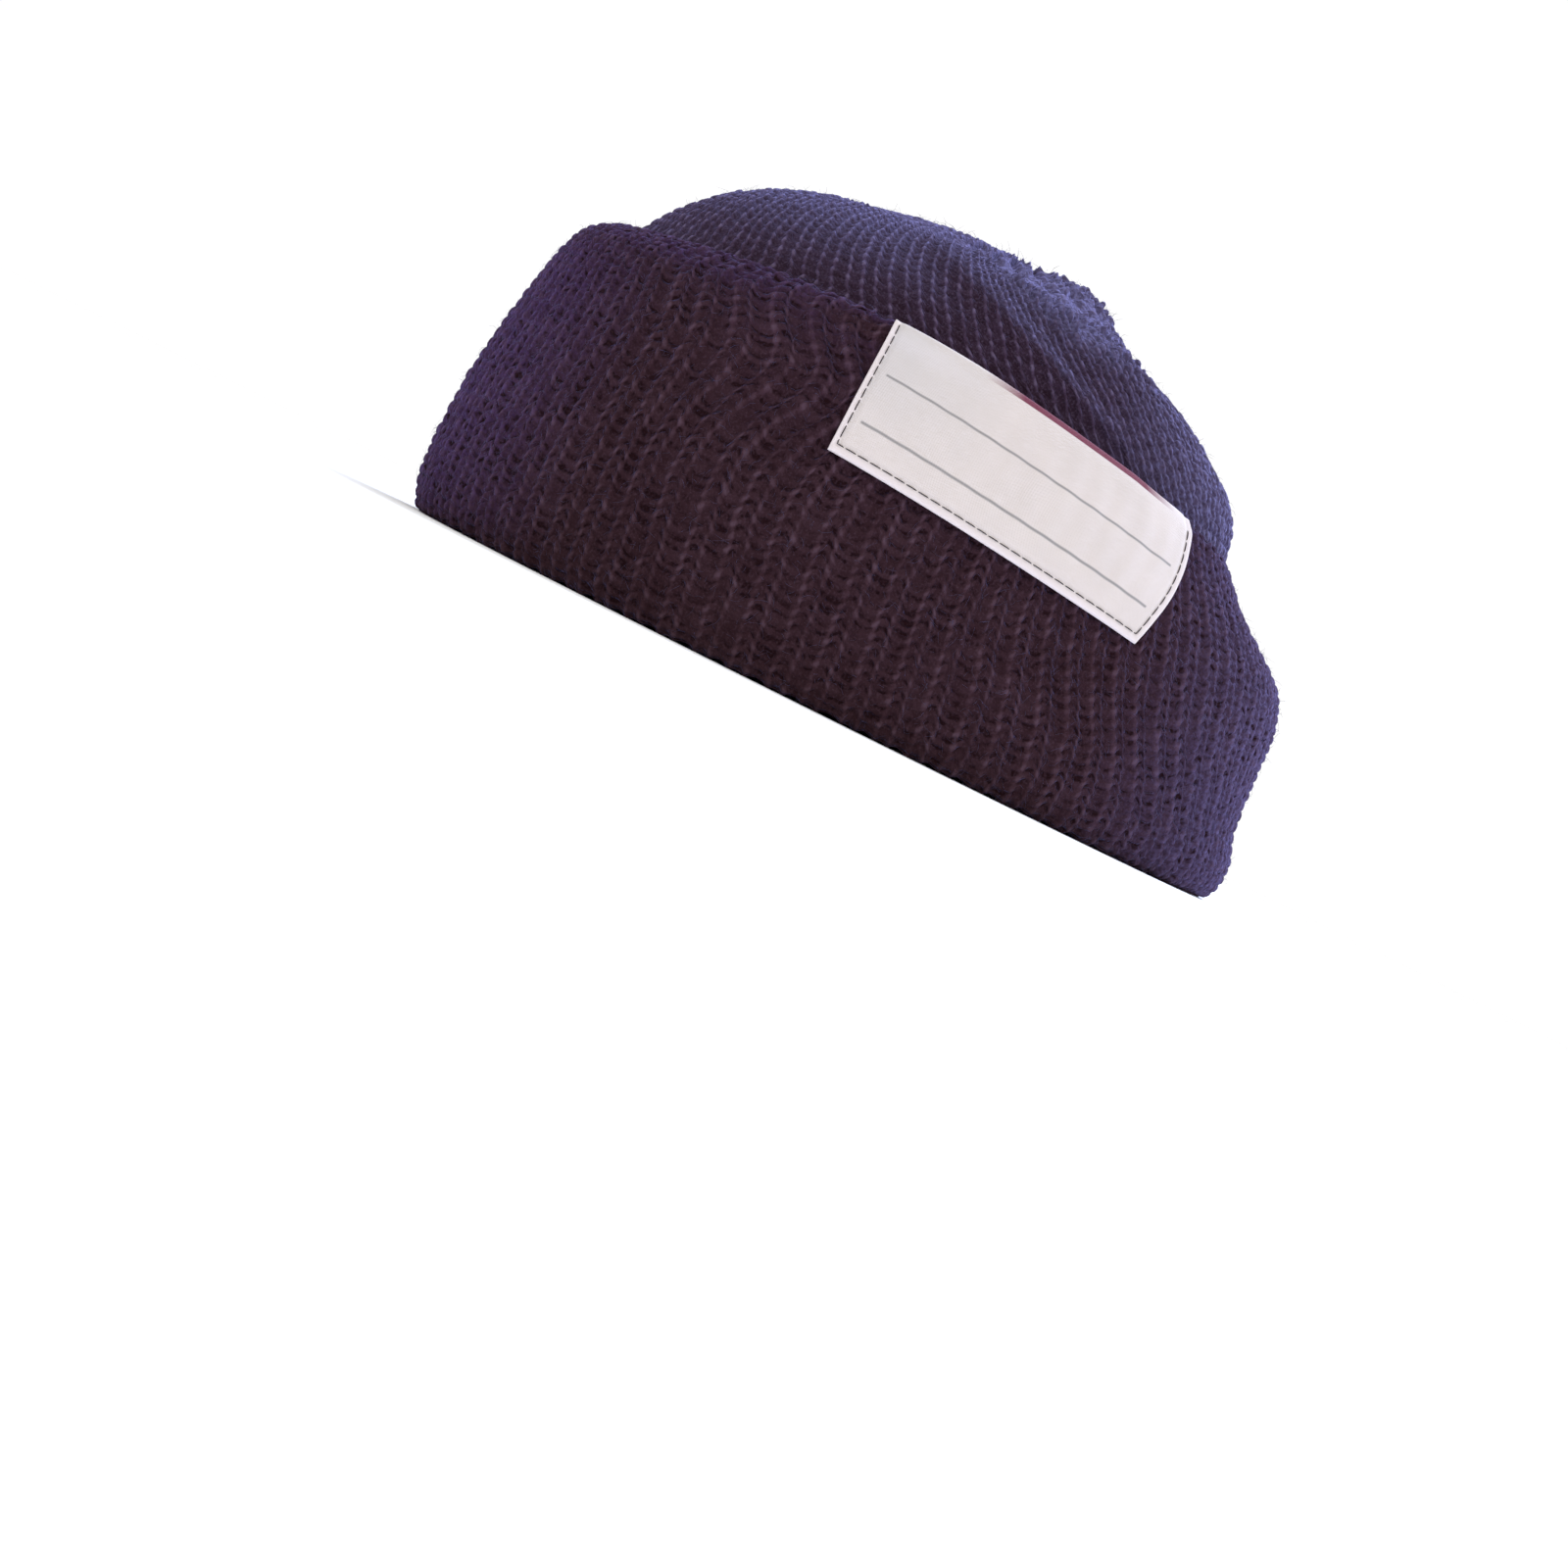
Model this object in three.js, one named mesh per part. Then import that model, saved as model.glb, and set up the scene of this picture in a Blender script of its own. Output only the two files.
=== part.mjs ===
// Watch cap: a tube of thick ribbed knit, gathered shut at the crown, with its open end turned up
// into a deep cuff and a cloth name tape sewn to the wearer's left side of the cuff.
// Millimetres. The brow is at -Y, the wearer's left ear at +X, and the rim's fold lies on Z = 0.
import * as THREE from 'three';

// The knit: raised ribs run up the tube with a furrow between each two. The wall is one layer from the
// rib crests to its back, and the cuff lies a small gap outside the layer that it is turned up over.
const RIB_COUNT = 84;
const KNIT_WALL = 3.2;
const LAYER_GAP = 0.4;
const CUFF_RIB_DEPTH = 1.1;

// Rows of the cuff's table that its plain inner face, and the crown's layer behind it, follow.
const HIDDEN_ROWS = [2, 3, 5, 7, 9, 10];

// The fold at the rim, which the cap rests on.
const FOLD_WIDTH = 2 * KNIT_WALL + LAYER_GAP;
const FOLD_FLAT_WIDTH = 3.4;
const FOLD_HEIGHT = 3.2;
const FOLD_INNER_ROUND = 1.4;

// The name tape, laid on the rib crests with its upper edge along the cuff's upper edge. Its levels are
// places in the table of cuff sections, for the lower edge at the tape's start and at its end.
const LABEL = {
  length: 81,
  thickness: 0.8,
  clearance: 0.3,
  startAngle: 52,
  lowerLevels: [5.45, 5.2],
  upperLevel: 9.65,
  columns: 24,
};

const KNIT_COLOUR = 0x2b2438;
const LABEL_COLOUR = 0xded5d5;
const CLOTH_ROUGHNESS = 0.95;

// Sections of the cuff's outer face, from the rim up to the free edge. Each row gives the reach from
// the crown's axis and the height above the rim, at the brow, at the ears and at the nape. wide is how
// far the widest line lies behind the axis, and temple is how much the section is lifted between the
// brow and the ears.
const CUFF_SECTIONS = [
  { brow: 101.5, browUp: 0.0, ear: 84.5, earUp: 0.0, nape: 102.0, napeUp: 0.0, wide: 8, temple: 0.0 },
  { brow: 104.0, browUp: 3.0, ear: 87.0, earUp: 3.0, nape: 105.0, napeUp: 3.0, wide: 8, temple: 0.0 },
  { brow: 105.5, browUp: 9.0, ear: 88.0, earUp: 9.0, nape: 105.5, napeUp: 8.0, wide: 8, temple: 0.0 },
  { brow: 106.0, browUp: 18.0, ear: 88.0, earUp: 18.0, nape: 101.0, napeUp: 18.0, wide: 8, temple: 0.6 },
  { brow: 105.5, browUp: 30.0, ear: 87.0, earUp: 28.0, nape: 100.5, napeUp: 29.0, wide: 7, temple: 1.2 },
  { brow: 104.0, browUp: 42.0, ear: 85.0, earUp: 39.0, nape: 101.0, napeUp: 39.0, wide: 6, temple: 2.1 },
  { brow: 102.0, browUp: 53.0, ear: 82.0, earUp: 49.0, nape: 98.5, napeUp: 48.0, wide: 5, temple: 3.1 },
  { brow: 100.0, browUp: 63.0, ear: 78.5, earUp: 58.0, nape: 90.5, napeUp: 56.0, wide: 4, temple: 3.7 },
  { brow: 97.5, browUp: 69.5, ear: 75.5, earUp: 65.0, nape: 81.0, napeUp: 62.0, wide: 3, temple: 4.3 },
  { brow: 93.5, browUp: 73.0, ear: 73.5, earUp: 69.5, nape: 76.0, napeUp: 66.0, wide: 2, temple: 4.6 },
  { brow: 89.5, browUp: 75.0, ear: 71.5, earUp: 72.0, nape: 73.5, napeUp: 68.0, wide: 2, temple: 4.6 },
];

// Sections of the crown's outer face, from where it leaves the cuff up to the gathered closing. merged
// is how many ribs run as one, because ribs meet in pairs towards the top, and depth is that of the
// furrows between them. turn is how far the ribs lean round, in degrees.
const CROWN_SECTIONS = [
  { brow: 84.5, browUp: 77.5, ear: 66.5, earUp: 73.5, nape: 69.0, napeUp: 70.5, wide: 0, temple: 4.0,
    merged: 1, depth: 0.9, turn: 0 },
  { brow: 78.0, browUp: 86.0, ear: 62.5, earUp: 82.0, nape: 66.0, napeUp: 79.0, wide: 0, temple: 2.7,
    merged: 1, depth: 0.9, turn: 5.5 },
  { brow: 69.0, browUp: 94.0, ear: 56.5, earUp: 90.5, nape: 55.5, napeUp: 87.0, wide: 0, temple: 1.4,
    merged: 1, depth: 0.9, turn: 11 },
  { brow: 56.0, browUp: 100.5, ear: 48.0, earUp: 98.0, nape: 41.5, napeUp: 95.0, wide: 0, temple: 0.7,
    merged: 1, depth: 1.0, turn: 17 },
  { brow: 42.0, browUp: 104.5, ear: 35.5, earUp: 103.5, nape: 26.0, napeUp: 101.0, wide: 0, temple: 0.0,
    merged: 2, depth: 1.2, turn: 22 },
  { brow: 29.0, browUp: 107.5, ear: 25.0, earUp: 106.5, nape: 19.0, napeUp: 105.0, wide: 0, temple: 0.0,
    merged: 2, depth: 1.3, turn: 25 },
  { brow: 17.0, browUp: 109.0, ear: 15.0, earUp: 108.5, nape: 16.0, napeUp: 110.5, wide: 0, temple: 0.0,
    merged: 4, depth: 1.3, turn: 26 },
  { brow: 7.0, browUp: 108.5, ear: 6.0, earUp: 109.0, nape: 7.0, napeUp: 111.0, wide: 0, temple: 0.0,
    merged: 4, depth: 1.0, turn: 26 },
];
const CROWN_DIMPLE_HEIGHT = 107.5;

const FULL_TURN = 2 * Math.PI;

// The temples' lift reaches this far past the ears, as a cosine, and is highest at the peak angle.
const LIFT_TAIL = 0.1;
const LIFT_PEAK_ANGLE = Math.acos((Math.sqrt(LIFT_TAIL ** 2 + 3) - LIFT_TAIL) / 3);

// A short step of the angle, in radians, that measures how fast a section runs under the tape.
const PACE_PROBE = 0.01;

// A section between two table rows, blended in proportion. level 2.5 is halfway from row 2 to row 3.
function sectionAt(sections, level) {
  const row = Math.min(Math.floor(level), sections.length - 2);
  const share = level - row;
  const blend = {};
  for (const column of Object.keys(sections[row])) {
    blend[column] = THREE.MathUtils.lerp(sections[row][column], sections[row + 1][column], share);
  }
  return blend;
}

// A point on a section. The angle runs from the brow round by the left ear. The plan is two half
// ellipses that meet at the widest line, and the height passes smoothly from the ears to either end,
// with the temples' lift added as a hump.
function sectionPoint(section, angle) {
  const along = Math.cos(angle);
  const across = Math.sin(angle);
  const inFront = along > 0;
  const halfLength = inFront ? section.brow + section.wide : section.nape - section.wide;
  const endHeight = inFront ? section.browUp : section.napeUp;
  const lift = section.temple * (humpAt(angle) / humpAt(LIFT_PEAK_ANGLE));
  return new THREE.Vector3(
    section.ear * across,
    section.wide - halfLength * along,
    THREE.MathUtils.lerp(section.earUp, endHeight, along * along) + lift,
  );
}

// A hump over the temples that sinks a little below the ears' height behind the ears and then dies out.
function humpAt(angle) {
  const along = Math.cos(angle);
  const fade = Math.min(1 + along, 1) ** 2;
  return Math.sin(angle) ** 2 * (along + LIFT_TAIL) * fade;
}

// A ring of points round a section, two for each rib: one on its crest and one for the furrow beside it.
function ringOf(section, columns) {
  const turn = THREE.MathUtils.degToRad(section.turn ?? 0);
  return Array.from({ length: columns }, (_, i) => sectionPoint(section, (FULL_TURN * i) / columns - turn));
}

// The sections moved along their own profile's normal, inwards for a negative distance, so that two
// faces of one layer stay a constant wall apart at the brow, the ears and the nape.
function offsetSections(sections, distance) {
  return sections.map((section, row) => {
    const below = sections[Math.max(row - 1, 0)];
    const above = sections[Math.min(row + 1, sections.length - 1)];
    const moved = { ...section };
    for (const place of ['brow', 'ear', 'nape']) {
      const run = above[place] - below[place];
      const rise = above[`${place}Up`] - below[`${place}Up`];
      const slope = Math.hypot(run, rise);
      moved[place] += (distance * rise) / slope;
      moved[`${place}Up`] -= (distance * run) / slope;
    }
    return moved;
  });
}

// Presses every second point of each ring into the wall, which leaves ribs standing between furrows.
// The way in is the normal of the smooth face, from the ring's neighbours and the rings beside it.
function pressFurrows(rings, depths) {
  return rings.map((ring, row) => {
    const count = ring.length;
    const pick = (other, i) => other[(Math.round((i * other.length) / count)) % other.length];
    return ring.map((point, i) => {
      if (i % 2 === 0 || depths[row] === 0) return point;
      const round = ring[(i + 1) % count].clone().sub(ring[i - 1]);
      const middle = ring[(i + 1) % count].clone().add(ring[i - 1]).multiplyScalar(0.5);
      const above = pick(rings[Math.min(row + 1, rings.length - 1)], i + 1);
      const below = pick(rings[Math.max(row - 1, 0)], i + 1);
      const outward = round.cross(above.clone().sub(below)).normalize();
      return middle.addScaledVector(outward, -depths[row]);
    });
  });
}

// Triangles of the strip between two rings, whose counts are equal or two to one.
function stitch(lower, upper) {
  const triangles = [];
  const fine = Math.max(lower.length, upper.length);
  for (let i = 0; i < Math.min(lower.length, upper.length); i += 1) {
    const next = (i + 1) % Math.min(lower.length, upper.length);
    if (lower.length === upper.length) {
      triangles.push([lower[i], lower[next], upper[next]], [lower[i], upper[next], upper[i]]);
    } else if (lower.length === fine) {
      const [start, middle, end] = [2 * i, 2 * i + 1, (2 * i + 2) % fine];
      triangles.push([lower[start], lower[middle], upper[i]]);
      triangles.push([lower[middle], upper[next], upper[i]]);
      triangles.push([lower[middle], lower[end], upper[next]]);
    } else {
      const [start, middle, end] = [2 * i, 2 * i + 1, (2 * i + 2) % fine];
      triangles.push([lower[i], upper[middle], upper[start]]);
      triangles.push([lower[i], lower[next], upper[middle]]);
      triangles.push([lower[next], upper[end], upper[middle]]);
    }
  }
  return triangles;
}

function fan(tip, ring, tipAbove) {
  return ring.map((point, i) => {
    const next = ring[(i + 1) % ring.length];
    return tipAbove ? [point, next, tip] : [tip, next, point];
  });
}

// A mesh of triangles given as corner vectors, with equal corners shared.
function namedMesh(name, triangles, colour) {
  const numbers = new Map();
  const positions = [];
  const index = [];
  for (const corner of triangles.flat()) {
    if (!numbers.has(corner)) {
      numbers.set(corner, numbers.size);
      positions.push(corner.x, corner.y, corner.z);
    }
    index.push(numbers.get(corner));
  }
  const geometry = new THREE.BufferGeometry();
  geometry.setAttribute('position', new THREE.Float32BufferAttribute(positions, 3));
  geometry.setIndex(index);
  geometry.computeVertexNormals();
  const material = new THREE.MeshStandardMaterial({ color: colour, roughness: CLOTH_ROUGHNESS });
  const mesh = new THREE.Mesh(geometry, material);
  mesh.name = name;
  return mesh;
}

// A section of the rim's fold: the cuff's first standing row moved in by a distance, at a given height.
function foldSection(inset, height) {
  const standing = CUFF_SECTIONS[1];
  const moved = { ...standing };
  for (const place of ['brow', 'ear', 'nape']) {
    moved[place] = standing[place] - inset;
    moved[`${place}Up`] = height;
  }
  return moved;
}

// The crown: a layer that starts above the fold and runs up behind the cuff, then the open top.
function makeCrown() {
  const behindCuff = offsetSections(CUFF_SECTIONS, -(KNIT_WALL + LAYER_GAP));
  const layer = [foldSection(KNIT_WALL + LAYER_GAP, FOLD_HEIGHT + LAYER_GAP)];
  for (const row of HIDDEN_ROWS) layer.push(behindCuff[row]);
  const plain = { merged: 2, depth: 0, turn: 0 };
  const sections = [...layer.map((section) => ({ ...section, ...plain })), ...CROWN_SECTIONS];
  const columnsOf = (section) => (2 * RIB_COUNT) / section.merged;
  const outerSmooth = sections.map((section) => ringOf(section, columnsOf(section)));
  const outer = pressFurrows(outerSmooth, sections.map((section) => section.depth));
  const innerSections = offsetSections(sections, -KNIT_WALL);
  innerSections[0] = { ...foldSection(FOLD_WIDTH, FOLD_HEIGHT + LAYER_GAP), ...plain };
  const inner = innerSections.map((section) => ringOf(section, Math.min(columnsOf(section), RIB_COUNT)));
  const outerTip = new THREE.Vector3(0, 0, CROWN_DIMPLE_HEIGHT);
  const innerTip = new THREE.Vector3(0, 0, CROWN_DIMPLE_HEIGHT - KNIT_WALL);
  const rings = [...inner.reverse(), ...outer];
  const triangles = fan(innerTip, rings[0], false);
  for (let i = 0; i + 1 < rings.length; i += 1) triangles.push(...stitch(rings[i], rings[i + 1]));
  triangles.push(...fan(outerTip, rings[rings.length - 1], true));
  return namedMesh('crown', triangles, KNIT_COLOUR);
}

// The cuff: ribbed outer face, plain inner face, and the fold that turns in under the crown's layer.
function makeCuff() {
  const outerSmooth = CUFF_SECTIONS.map((section) => ringOf(section, 2 * RIB_COUNT));
  const depths = CUFF_SECTIONS.map((_, row) => (row === 0 ? 0 : CUFF_RIB_DEPTH));
  const outer = pressFurrows(outerSmooth, depths);
  const innerFace = offsetSections(CUFF_SECTIONS, -KNIT_WALL);
  const flatInset = CUFF_SECTIONS[1].brow - CUFF_SECTIONS[0].brow + FOLD_FLAT_WIDTH;
  const hidden = [
    ...HIDDEN_ROWS.map((row) => innerFace[row]).reverse(),
    foldSection(KNIT_WALL, FOLD_HEIGHT),
    foldSection(FOLD_WIDTH, FOLD_HEIGHT),
    foldSection(FOLD_WIDTH, FOLD_INNER_ROUND),
    foldSection(flatInset, 0),
  ];
  const rings = [...outer, ...hidden.map((section) => ringOf(section, RIB_COUNT))];
  const triangles = rings.flatMap((ring, i) => stitch(ring, rings[(i + 1) % rings.length]));
  return namedMesh('cuff', triangles, KNIT_COLOUR);
}

// Points along the tape at even steps of its length, on cuff sections whose level passes from the first
// to the last given.
function pacedPoints(sections, firstLevel, lastLevel) {
  const step = LABEL.length / LABEL.columns;
  let angle = THREE.MathUtils.degToRad(LABEL.startAngle);
  const points = [];
  for (let i = 0; i <= LABEL.columns; i += 1) {
    const section = sectionAt(sections, THREE.MathUtils.lerp(firstLevel, lastLevel, i / LABEL.columns));
    const ahead = sectionPoint(section, angle + PACE_PROBE);
    points.push(sectionPoint(section, angle));
    angle += (PACE_PROBE * step) / ahead.distanceTo(points[i]);
  }
  return points;
}

// The name tape: a thin plate that follows the cuff's crests, with a vertex row at each cuff section.
function makeLabel() {
  const levels = [LABEL.lowerLevels];
  const firstRow = Math.ceil(Math.max(...LABEL.lowerLevels));
  for (let row = firstRow; row < LABEL.upperLevel; row += 1) levels.push([row, row]);
  levels.push([LABEL.upperLevel, LABEL.upperLevel]);
  const face = (distance) => {
    const sections = offsetSections(CUFF_SECTIONS, distance);
    return levels.map(([firstLevel, lastLevel]) => pacedPoints(sections, firstLevel, lastLevel));
  };
  const back = face(LABEL.clearance);
  const front = face(LABEL.clearance + LABEL.thickness);
  const loops = [];
  for (let i = 0; i <= LABEL.columns; i += 1) {
    const column = (grid) => grid.map((row) => row[i]);
    loops.push([...column(back), ...column(front).reverse()]);
  }
  const triangles = loops.slice(1).flatMap((loop, i) => stitch(loops[i], loop));
  const endFace = (loop, flipped) => {
    const rows = levels.length;
    return Array.from({ length: rows - 1 }, (_, i) => {
      const [a, b, c, d] = [loop[i], loop[i + 1], loop[2 * rows - 2 - i], loop[2 * rows - 1 - i]];
      return flipped ? [[a, c, b], [a, d, c]] : [[a, b, c], [a, c, d]];
    }).flat();
  };
  triangles.push(...endFace(loops[0], true), ...endFace(loops[loops.length - 1], false));
  return namedMesh('label', triangles, LABEL_COLOUR);
}

const cap = new THREE.Group();
cap.add(makeCrown(), makeCuff(), makeLabel());

// The origin is the middle of the cap's outline, on the surface that the rim rests on.
const middle = new THREE.Box3().setFromObject(cap).getCenter(new THREE.Vector3());
cap.position.set(-middle.x, -middle.y, 0);

export default cap;
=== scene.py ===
import math

import bpy
import numpy as np
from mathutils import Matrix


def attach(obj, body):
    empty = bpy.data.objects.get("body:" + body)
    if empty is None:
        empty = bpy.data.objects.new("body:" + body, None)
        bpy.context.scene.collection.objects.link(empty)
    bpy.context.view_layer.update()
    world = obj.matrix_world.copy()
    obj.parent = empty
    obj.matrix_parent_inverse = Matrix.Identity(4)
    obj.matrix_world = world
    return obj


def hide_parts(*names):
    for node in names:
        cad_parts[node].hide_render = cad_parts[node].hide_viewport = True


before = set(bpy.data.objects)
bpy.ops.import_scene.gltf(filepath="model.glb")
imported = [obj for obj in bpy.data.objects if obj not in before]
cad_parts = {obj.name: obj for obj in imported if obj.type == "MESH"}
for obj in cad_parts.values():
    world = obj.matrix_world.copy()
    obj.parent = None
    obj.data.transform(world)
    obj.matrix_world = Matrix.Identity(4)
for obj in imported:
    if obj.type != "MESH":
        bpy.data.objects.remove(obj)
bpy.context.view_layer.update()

# The crown is the upper part of one tube of thick ribbed wool knit, drawn shut at the top so that its ribs
# run together in pleats. Below the cuff's edge it goes on down inside the cuff to the rim, as the layer
# that lies against the head.
MM = 0.001
RIBS = 84
KNIT_WALL = 3.2
LAYER_GAP = 0.4
FOLD_HEIGHT = 3.2
FOLD_WIDTH = 2 * KNIT_WALL + LAYER_GAP
HIDDEN_ROWS = [2, 3, 5, 7, 9, 10]
MIDDLE_SHIFT = 0.25
COURSE_ROWS = 4
CREST_PLACE = 0.25

# Sections of the cuff's outer face from the rim to the free edge, in millimetres: reach and height at the
# brow, at the ears and at the nape, the widest line's place behind the axis, and the temples' lift.
CUFF_SECTIONS = np.array([
    [101.5, 0.0, 84.5, 0.0, 102.0, 0.0, 8, 0.0],
    [104.0, 3.0, 87.0, 3.0, 105.0, 3.0, 8, 0.0],
    [105.5, 9.0, 88.0, 9.0, 105.5, 8.0, 8, 0.0],
    [106.0, 18.0, 88.0, 18.0, 101.0, 18.0, 8, 0.6],
    [105.5, 30.0, 87.0, 28.0, 100.5, 29.0, 7, 1.2],
    [104.0, 42.0, 85.0, 39.0, 101.0, 39.0, 6, 2.1],
    [102.0, 53.0, 82.0, 49.0, 98.5, 48.0, 5, 3.1],
    [100.0, 63.0, 78.5, 58.0, 90.5, 56.0, 4, 3.7],
    [97.5, 69.5, 75.5, 65.0, 81.0, 62.0, 3, 4.3],
    [93.5, 73.0, 73.5, 69.5, 76.0, 66.0, 2, 4.6],
    [89.5, 75.0, 71.5, 72.0, 73.5, 68.0, 2, 4.6],
])

# Sections of the open crown from the cuff's edge to the gathered closing, in the same columns, and how far
# the ribs have turned round at each, in degrees.
CROWN_SECTIONS = np.array([
    [84.5, 77.5, 66.5, 73.5, 69.0, 70.5, 0, 4.0],
    [78.0, 86.0, 62.5, 82.0, 66.0, 79.0, 0, 2.7],
    [69.0, 94.0, 56.5, 90.5, 55.5, 87.0, 0, 1.4],
    [56.0, 100.5, 48.0, 98.0, 41.5, 95.0, 0, 0.7],
    [42.0, 104.5, 35.5, 103.5, 26.0, 101.0, 0, 0],
    [29.0, 107.5, 25.0, 106.5, 19.0, 105.0, 0, 0],
    [17.0, 109.0, 15.0, 108.5, 16.0, 110.5, 0, 0],
    [7.0, 108.5, 6.0, 109.0, 7.0, 111.0, 0, 0],
])
CROWN_TURN = np.array([0, 4.7, 9.5, 15, 20, 23, 24, 24])
CROWN_DIMPLE_HEIGHT = 107.5
LIFT_TAIL = 0.1
LIFT_PEAK = 0.4534
PLACES = ((0, 1), (2, 3), (4, 5))


def section_points(sections, angle):
    """Points on sections, in metres. The angle runs from the brow round by the left ear. The plan is two half
    ellipses that meet at the widest line. The height goes from the ears' to either end's with the cosine
    squared, plus the temples' lift: a hump of sine squared times the cosine and a little more, which sinks
    just behind the ears and then dies out."""
    brow, brow_up, ear, ear_up, nape, nape_up, wide, temple = np.moveaxis(sections, -1, 0)
    along, across = np.cos(angle), np.sin(angle)
    in_front = along > 0
    half_length = np.where(in_front, brow + wide, nape - wide)
    end_up = np.where(in_front, brow_up, nape_up)
    hump = across**2 * (along + LIFT_TAIL) * np.minimum(1 + along, 1) ** 2 / LIFT_PEAK
    y = wide - half_length * along + MIDDLE_SHIFT
    z = ear_up + (end_up - ear_up) * along**2 + temple * hump
    return np.stack([ear * across, y, z], -1) * MM


def blend_rows(table, level):
    """Rows of a table at fractional levels, on a cubic that stays between neighbouring rows: the slope at a
    row is the harmonic mean of the steps on its two sides, or none where they turn back."""
    steps = np.diff(table, axis=0)
    product = steps[1:] * steps[:-1]
    total = np.where(product > 0, steps[1:] + steps[:-1], 1)
    slopes = np.concatenate([steps[:1], np.where(product > 0, 2 * product / total, 0), steps[-1:]])
    row = np.clip(np.floor(level).astype(int), 0, len(table) - 2)
    share = (level - row).reshape(np.shape(level) + (1,) * (table.ndim - 1))
    rest = 1 - share
    return (
        (1 + 2 * share) * rest**2 * table[row]
        + share * rest**2 * slopes[row]
        + share**2 * (3 - 2 * share) * table[row + 1]
        - share**2 * rest * slopes[row + 1]
    )


def offset_sections(sections, distance):
    """The sections moved along the normal of their own profile at the brow, the ears and the nape."""
    below = np.concatenate([sections[:1], sections[:-1]])
    above = np.concatenate([sections[1:], sections[-1:]])
    moved = sections.copy()
    for reach, height in PLACES:
        run = above[:, reach] - below[:, reach]
        rise = above[:, height] - below[:, height]
        slope = np.hypot(run, rise)
        moved[:, reach] += distance * rise / slope
        moved[:, height] -= distance * run / slope
    return moved


def fold_section(inset, height):
    """A section of the rim's fold: the cuff's first standing row moved in, at a given height."""
    moved = CUFF_SECTIONS[1].copy()
    for reach, up in PLACES:
        moved[reach] -= inset
        moved[up] = height
    return moved


def even_levels(table, first, last, count):
    """Levels that cut the profile between two levels into equal lengths, averaged over five angles."""
    fine = np.linspace(first, last, 600)
    angles = np.radians([0, 60, 90, 130, 180])
    points = section_points(blend_rows(table, fine)[:, None, :], angles[None, :])
    steps = np.linalg.norm(np.diff(points, axis=0), axis=-1).mean(axis=1)
    length = np.concatenate([[0], np.cumsum(steps)])
    return np.interp(np.linspace(0, length[-1], count), length, fine)


def smooth_step(low, high, value):
    """0 below low, 1 above high, and three squares less two cubes of the share between them."""
    share = np.clip((value - low) / (high - low), 0, 1)
    return share**2 * (3 - 2 * share)


def band_normals(points):
    """Unit normals of a band of rings that is closed round: the way round crossed with the way along."""
    round_way = np.roll(points, -1, axis=1) - np.roll(points, 1, axis=1)
    along_way = np.gradient(points, axis=0)
    normals = np.cross(round_way, along_way)
    return normals / np.linalg.norm(normals, axis=-1, keepdims=True)


def rib_columns(places, merged):
    """Rib numbers of the columns round a ring. places are the columns' places in one rib, from -0.5 to 0.5
    with 0 on its middle, and merged is how many ribs run as one there."""
    pleat = np.arange(RIBS // merged)[:, None] + places[None, :]
    return (pleat * merged + (merged - 1) / 2).ravel()


# Hand-feel of real yarn: each stitch stands a little proud or low, and each rib wanders a little sideways.
uneven = np.random.default_rng(84)
UNEVEN_STITCHES = uneven.normal(-0.12, 0.18, (2 * RIBS, 96)).clip(-0.5, 0.12)
RIB_WANDER = uneven.normal(0, 0.10, RIBS)
RIB_WAVE = uneven.uniform(0, 2 * math.pi, RIBS)


def knit_relief(rib, stitch, depths):
    """Height of the knit over its crests, in millimetres. Each rib is two slanted legs of yarn with a groove
    between them, and the yarn of each stitch runs on into the furrow as a bar. The height falls from a crest
    as a sine to the groove and to the furrow, less a share for how far the point lies from the middle of its
    yarn, which is a round on the legs and a wedge on the bars."""
    groove, furrow, stitch_cut, furrow_cut = depths
    from_crest = np.abs(rib - np.round(rib)) / CREST_PLACE - 1
    leg = np.floor(2 * rib).astype(int) % len(UNEVEN_STITCHES)
    course = np.floor(stitch).astype(int) % UNEVEN_STITCHES.shape[1]
    uneven = UNEVEN_STITCHES[leg, course] * (1 - np.abs(np.clip(from_crest, -1, 1)))
    in_furrow = np.sin(math.pi / 2 * np.clip(from_crest, 0, 1))
    in_groove = np.sin(math.pi / 2 * np.clip(-from_crest, 0, 1))
    from_yarn = np.abs(2 * (stitch % 1) - 1)
    round_off = 1 - np.sqrt(np.clip(1 - from_yarn**2, 0, 1))
    cut = stitch_cut * round_off * (1 - in_furrow) + furrow_cut * from_yarn * in_furrow
    return uneven * (stitch_cut > 0) - groove * in_groove - furrow * in_furrow - cut


def band_faces(first, rows, columns):
    """Quads of a band of rings that is closed round, with points numbered row by row from first."""
    corner = first + np.arange(rows - 1)[:, None] * columns + np.arange(columns)[None, :]
    beside = first + np.arange(rows - 1)[:, None] * columns + (np.arange(columns)[None, :] + 1) % columns
    return np.stack([corner, beside, beside + columns, corner + columns], -1).reshape(-1, 4)


def join_faces(lower, lower_columns, upper, upper_columns):
    """Triangles between two rings of which one has twice the columns of the other."""
    coarse = min(lower_columns, upper_columns)
    one = np.arange(coarse)
    after = (one + 1) % coarse
    fine_after = (2 * one + 2) % (2 * coarse)
    if lower_columns > upper_columns:
        start, middle, end = lower + 2 * one, lower + 2 * one + 1, lower + fine_after
        near, far = upper + one, upper + after
        fans = [(start, middle, near), (middle, far, near), (middle, end, far)]
    else:
        start, middle, end = upper + 2 * one, upper + 2 * one + 1, upper + fine_after
        near, far = lower + one, lower + after
        fans = [(near, middle, start), (near, far, middle), (far, end, middle)]
    return np.concatenate([np.stack(fan, -1) for fan in fans])


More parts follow.
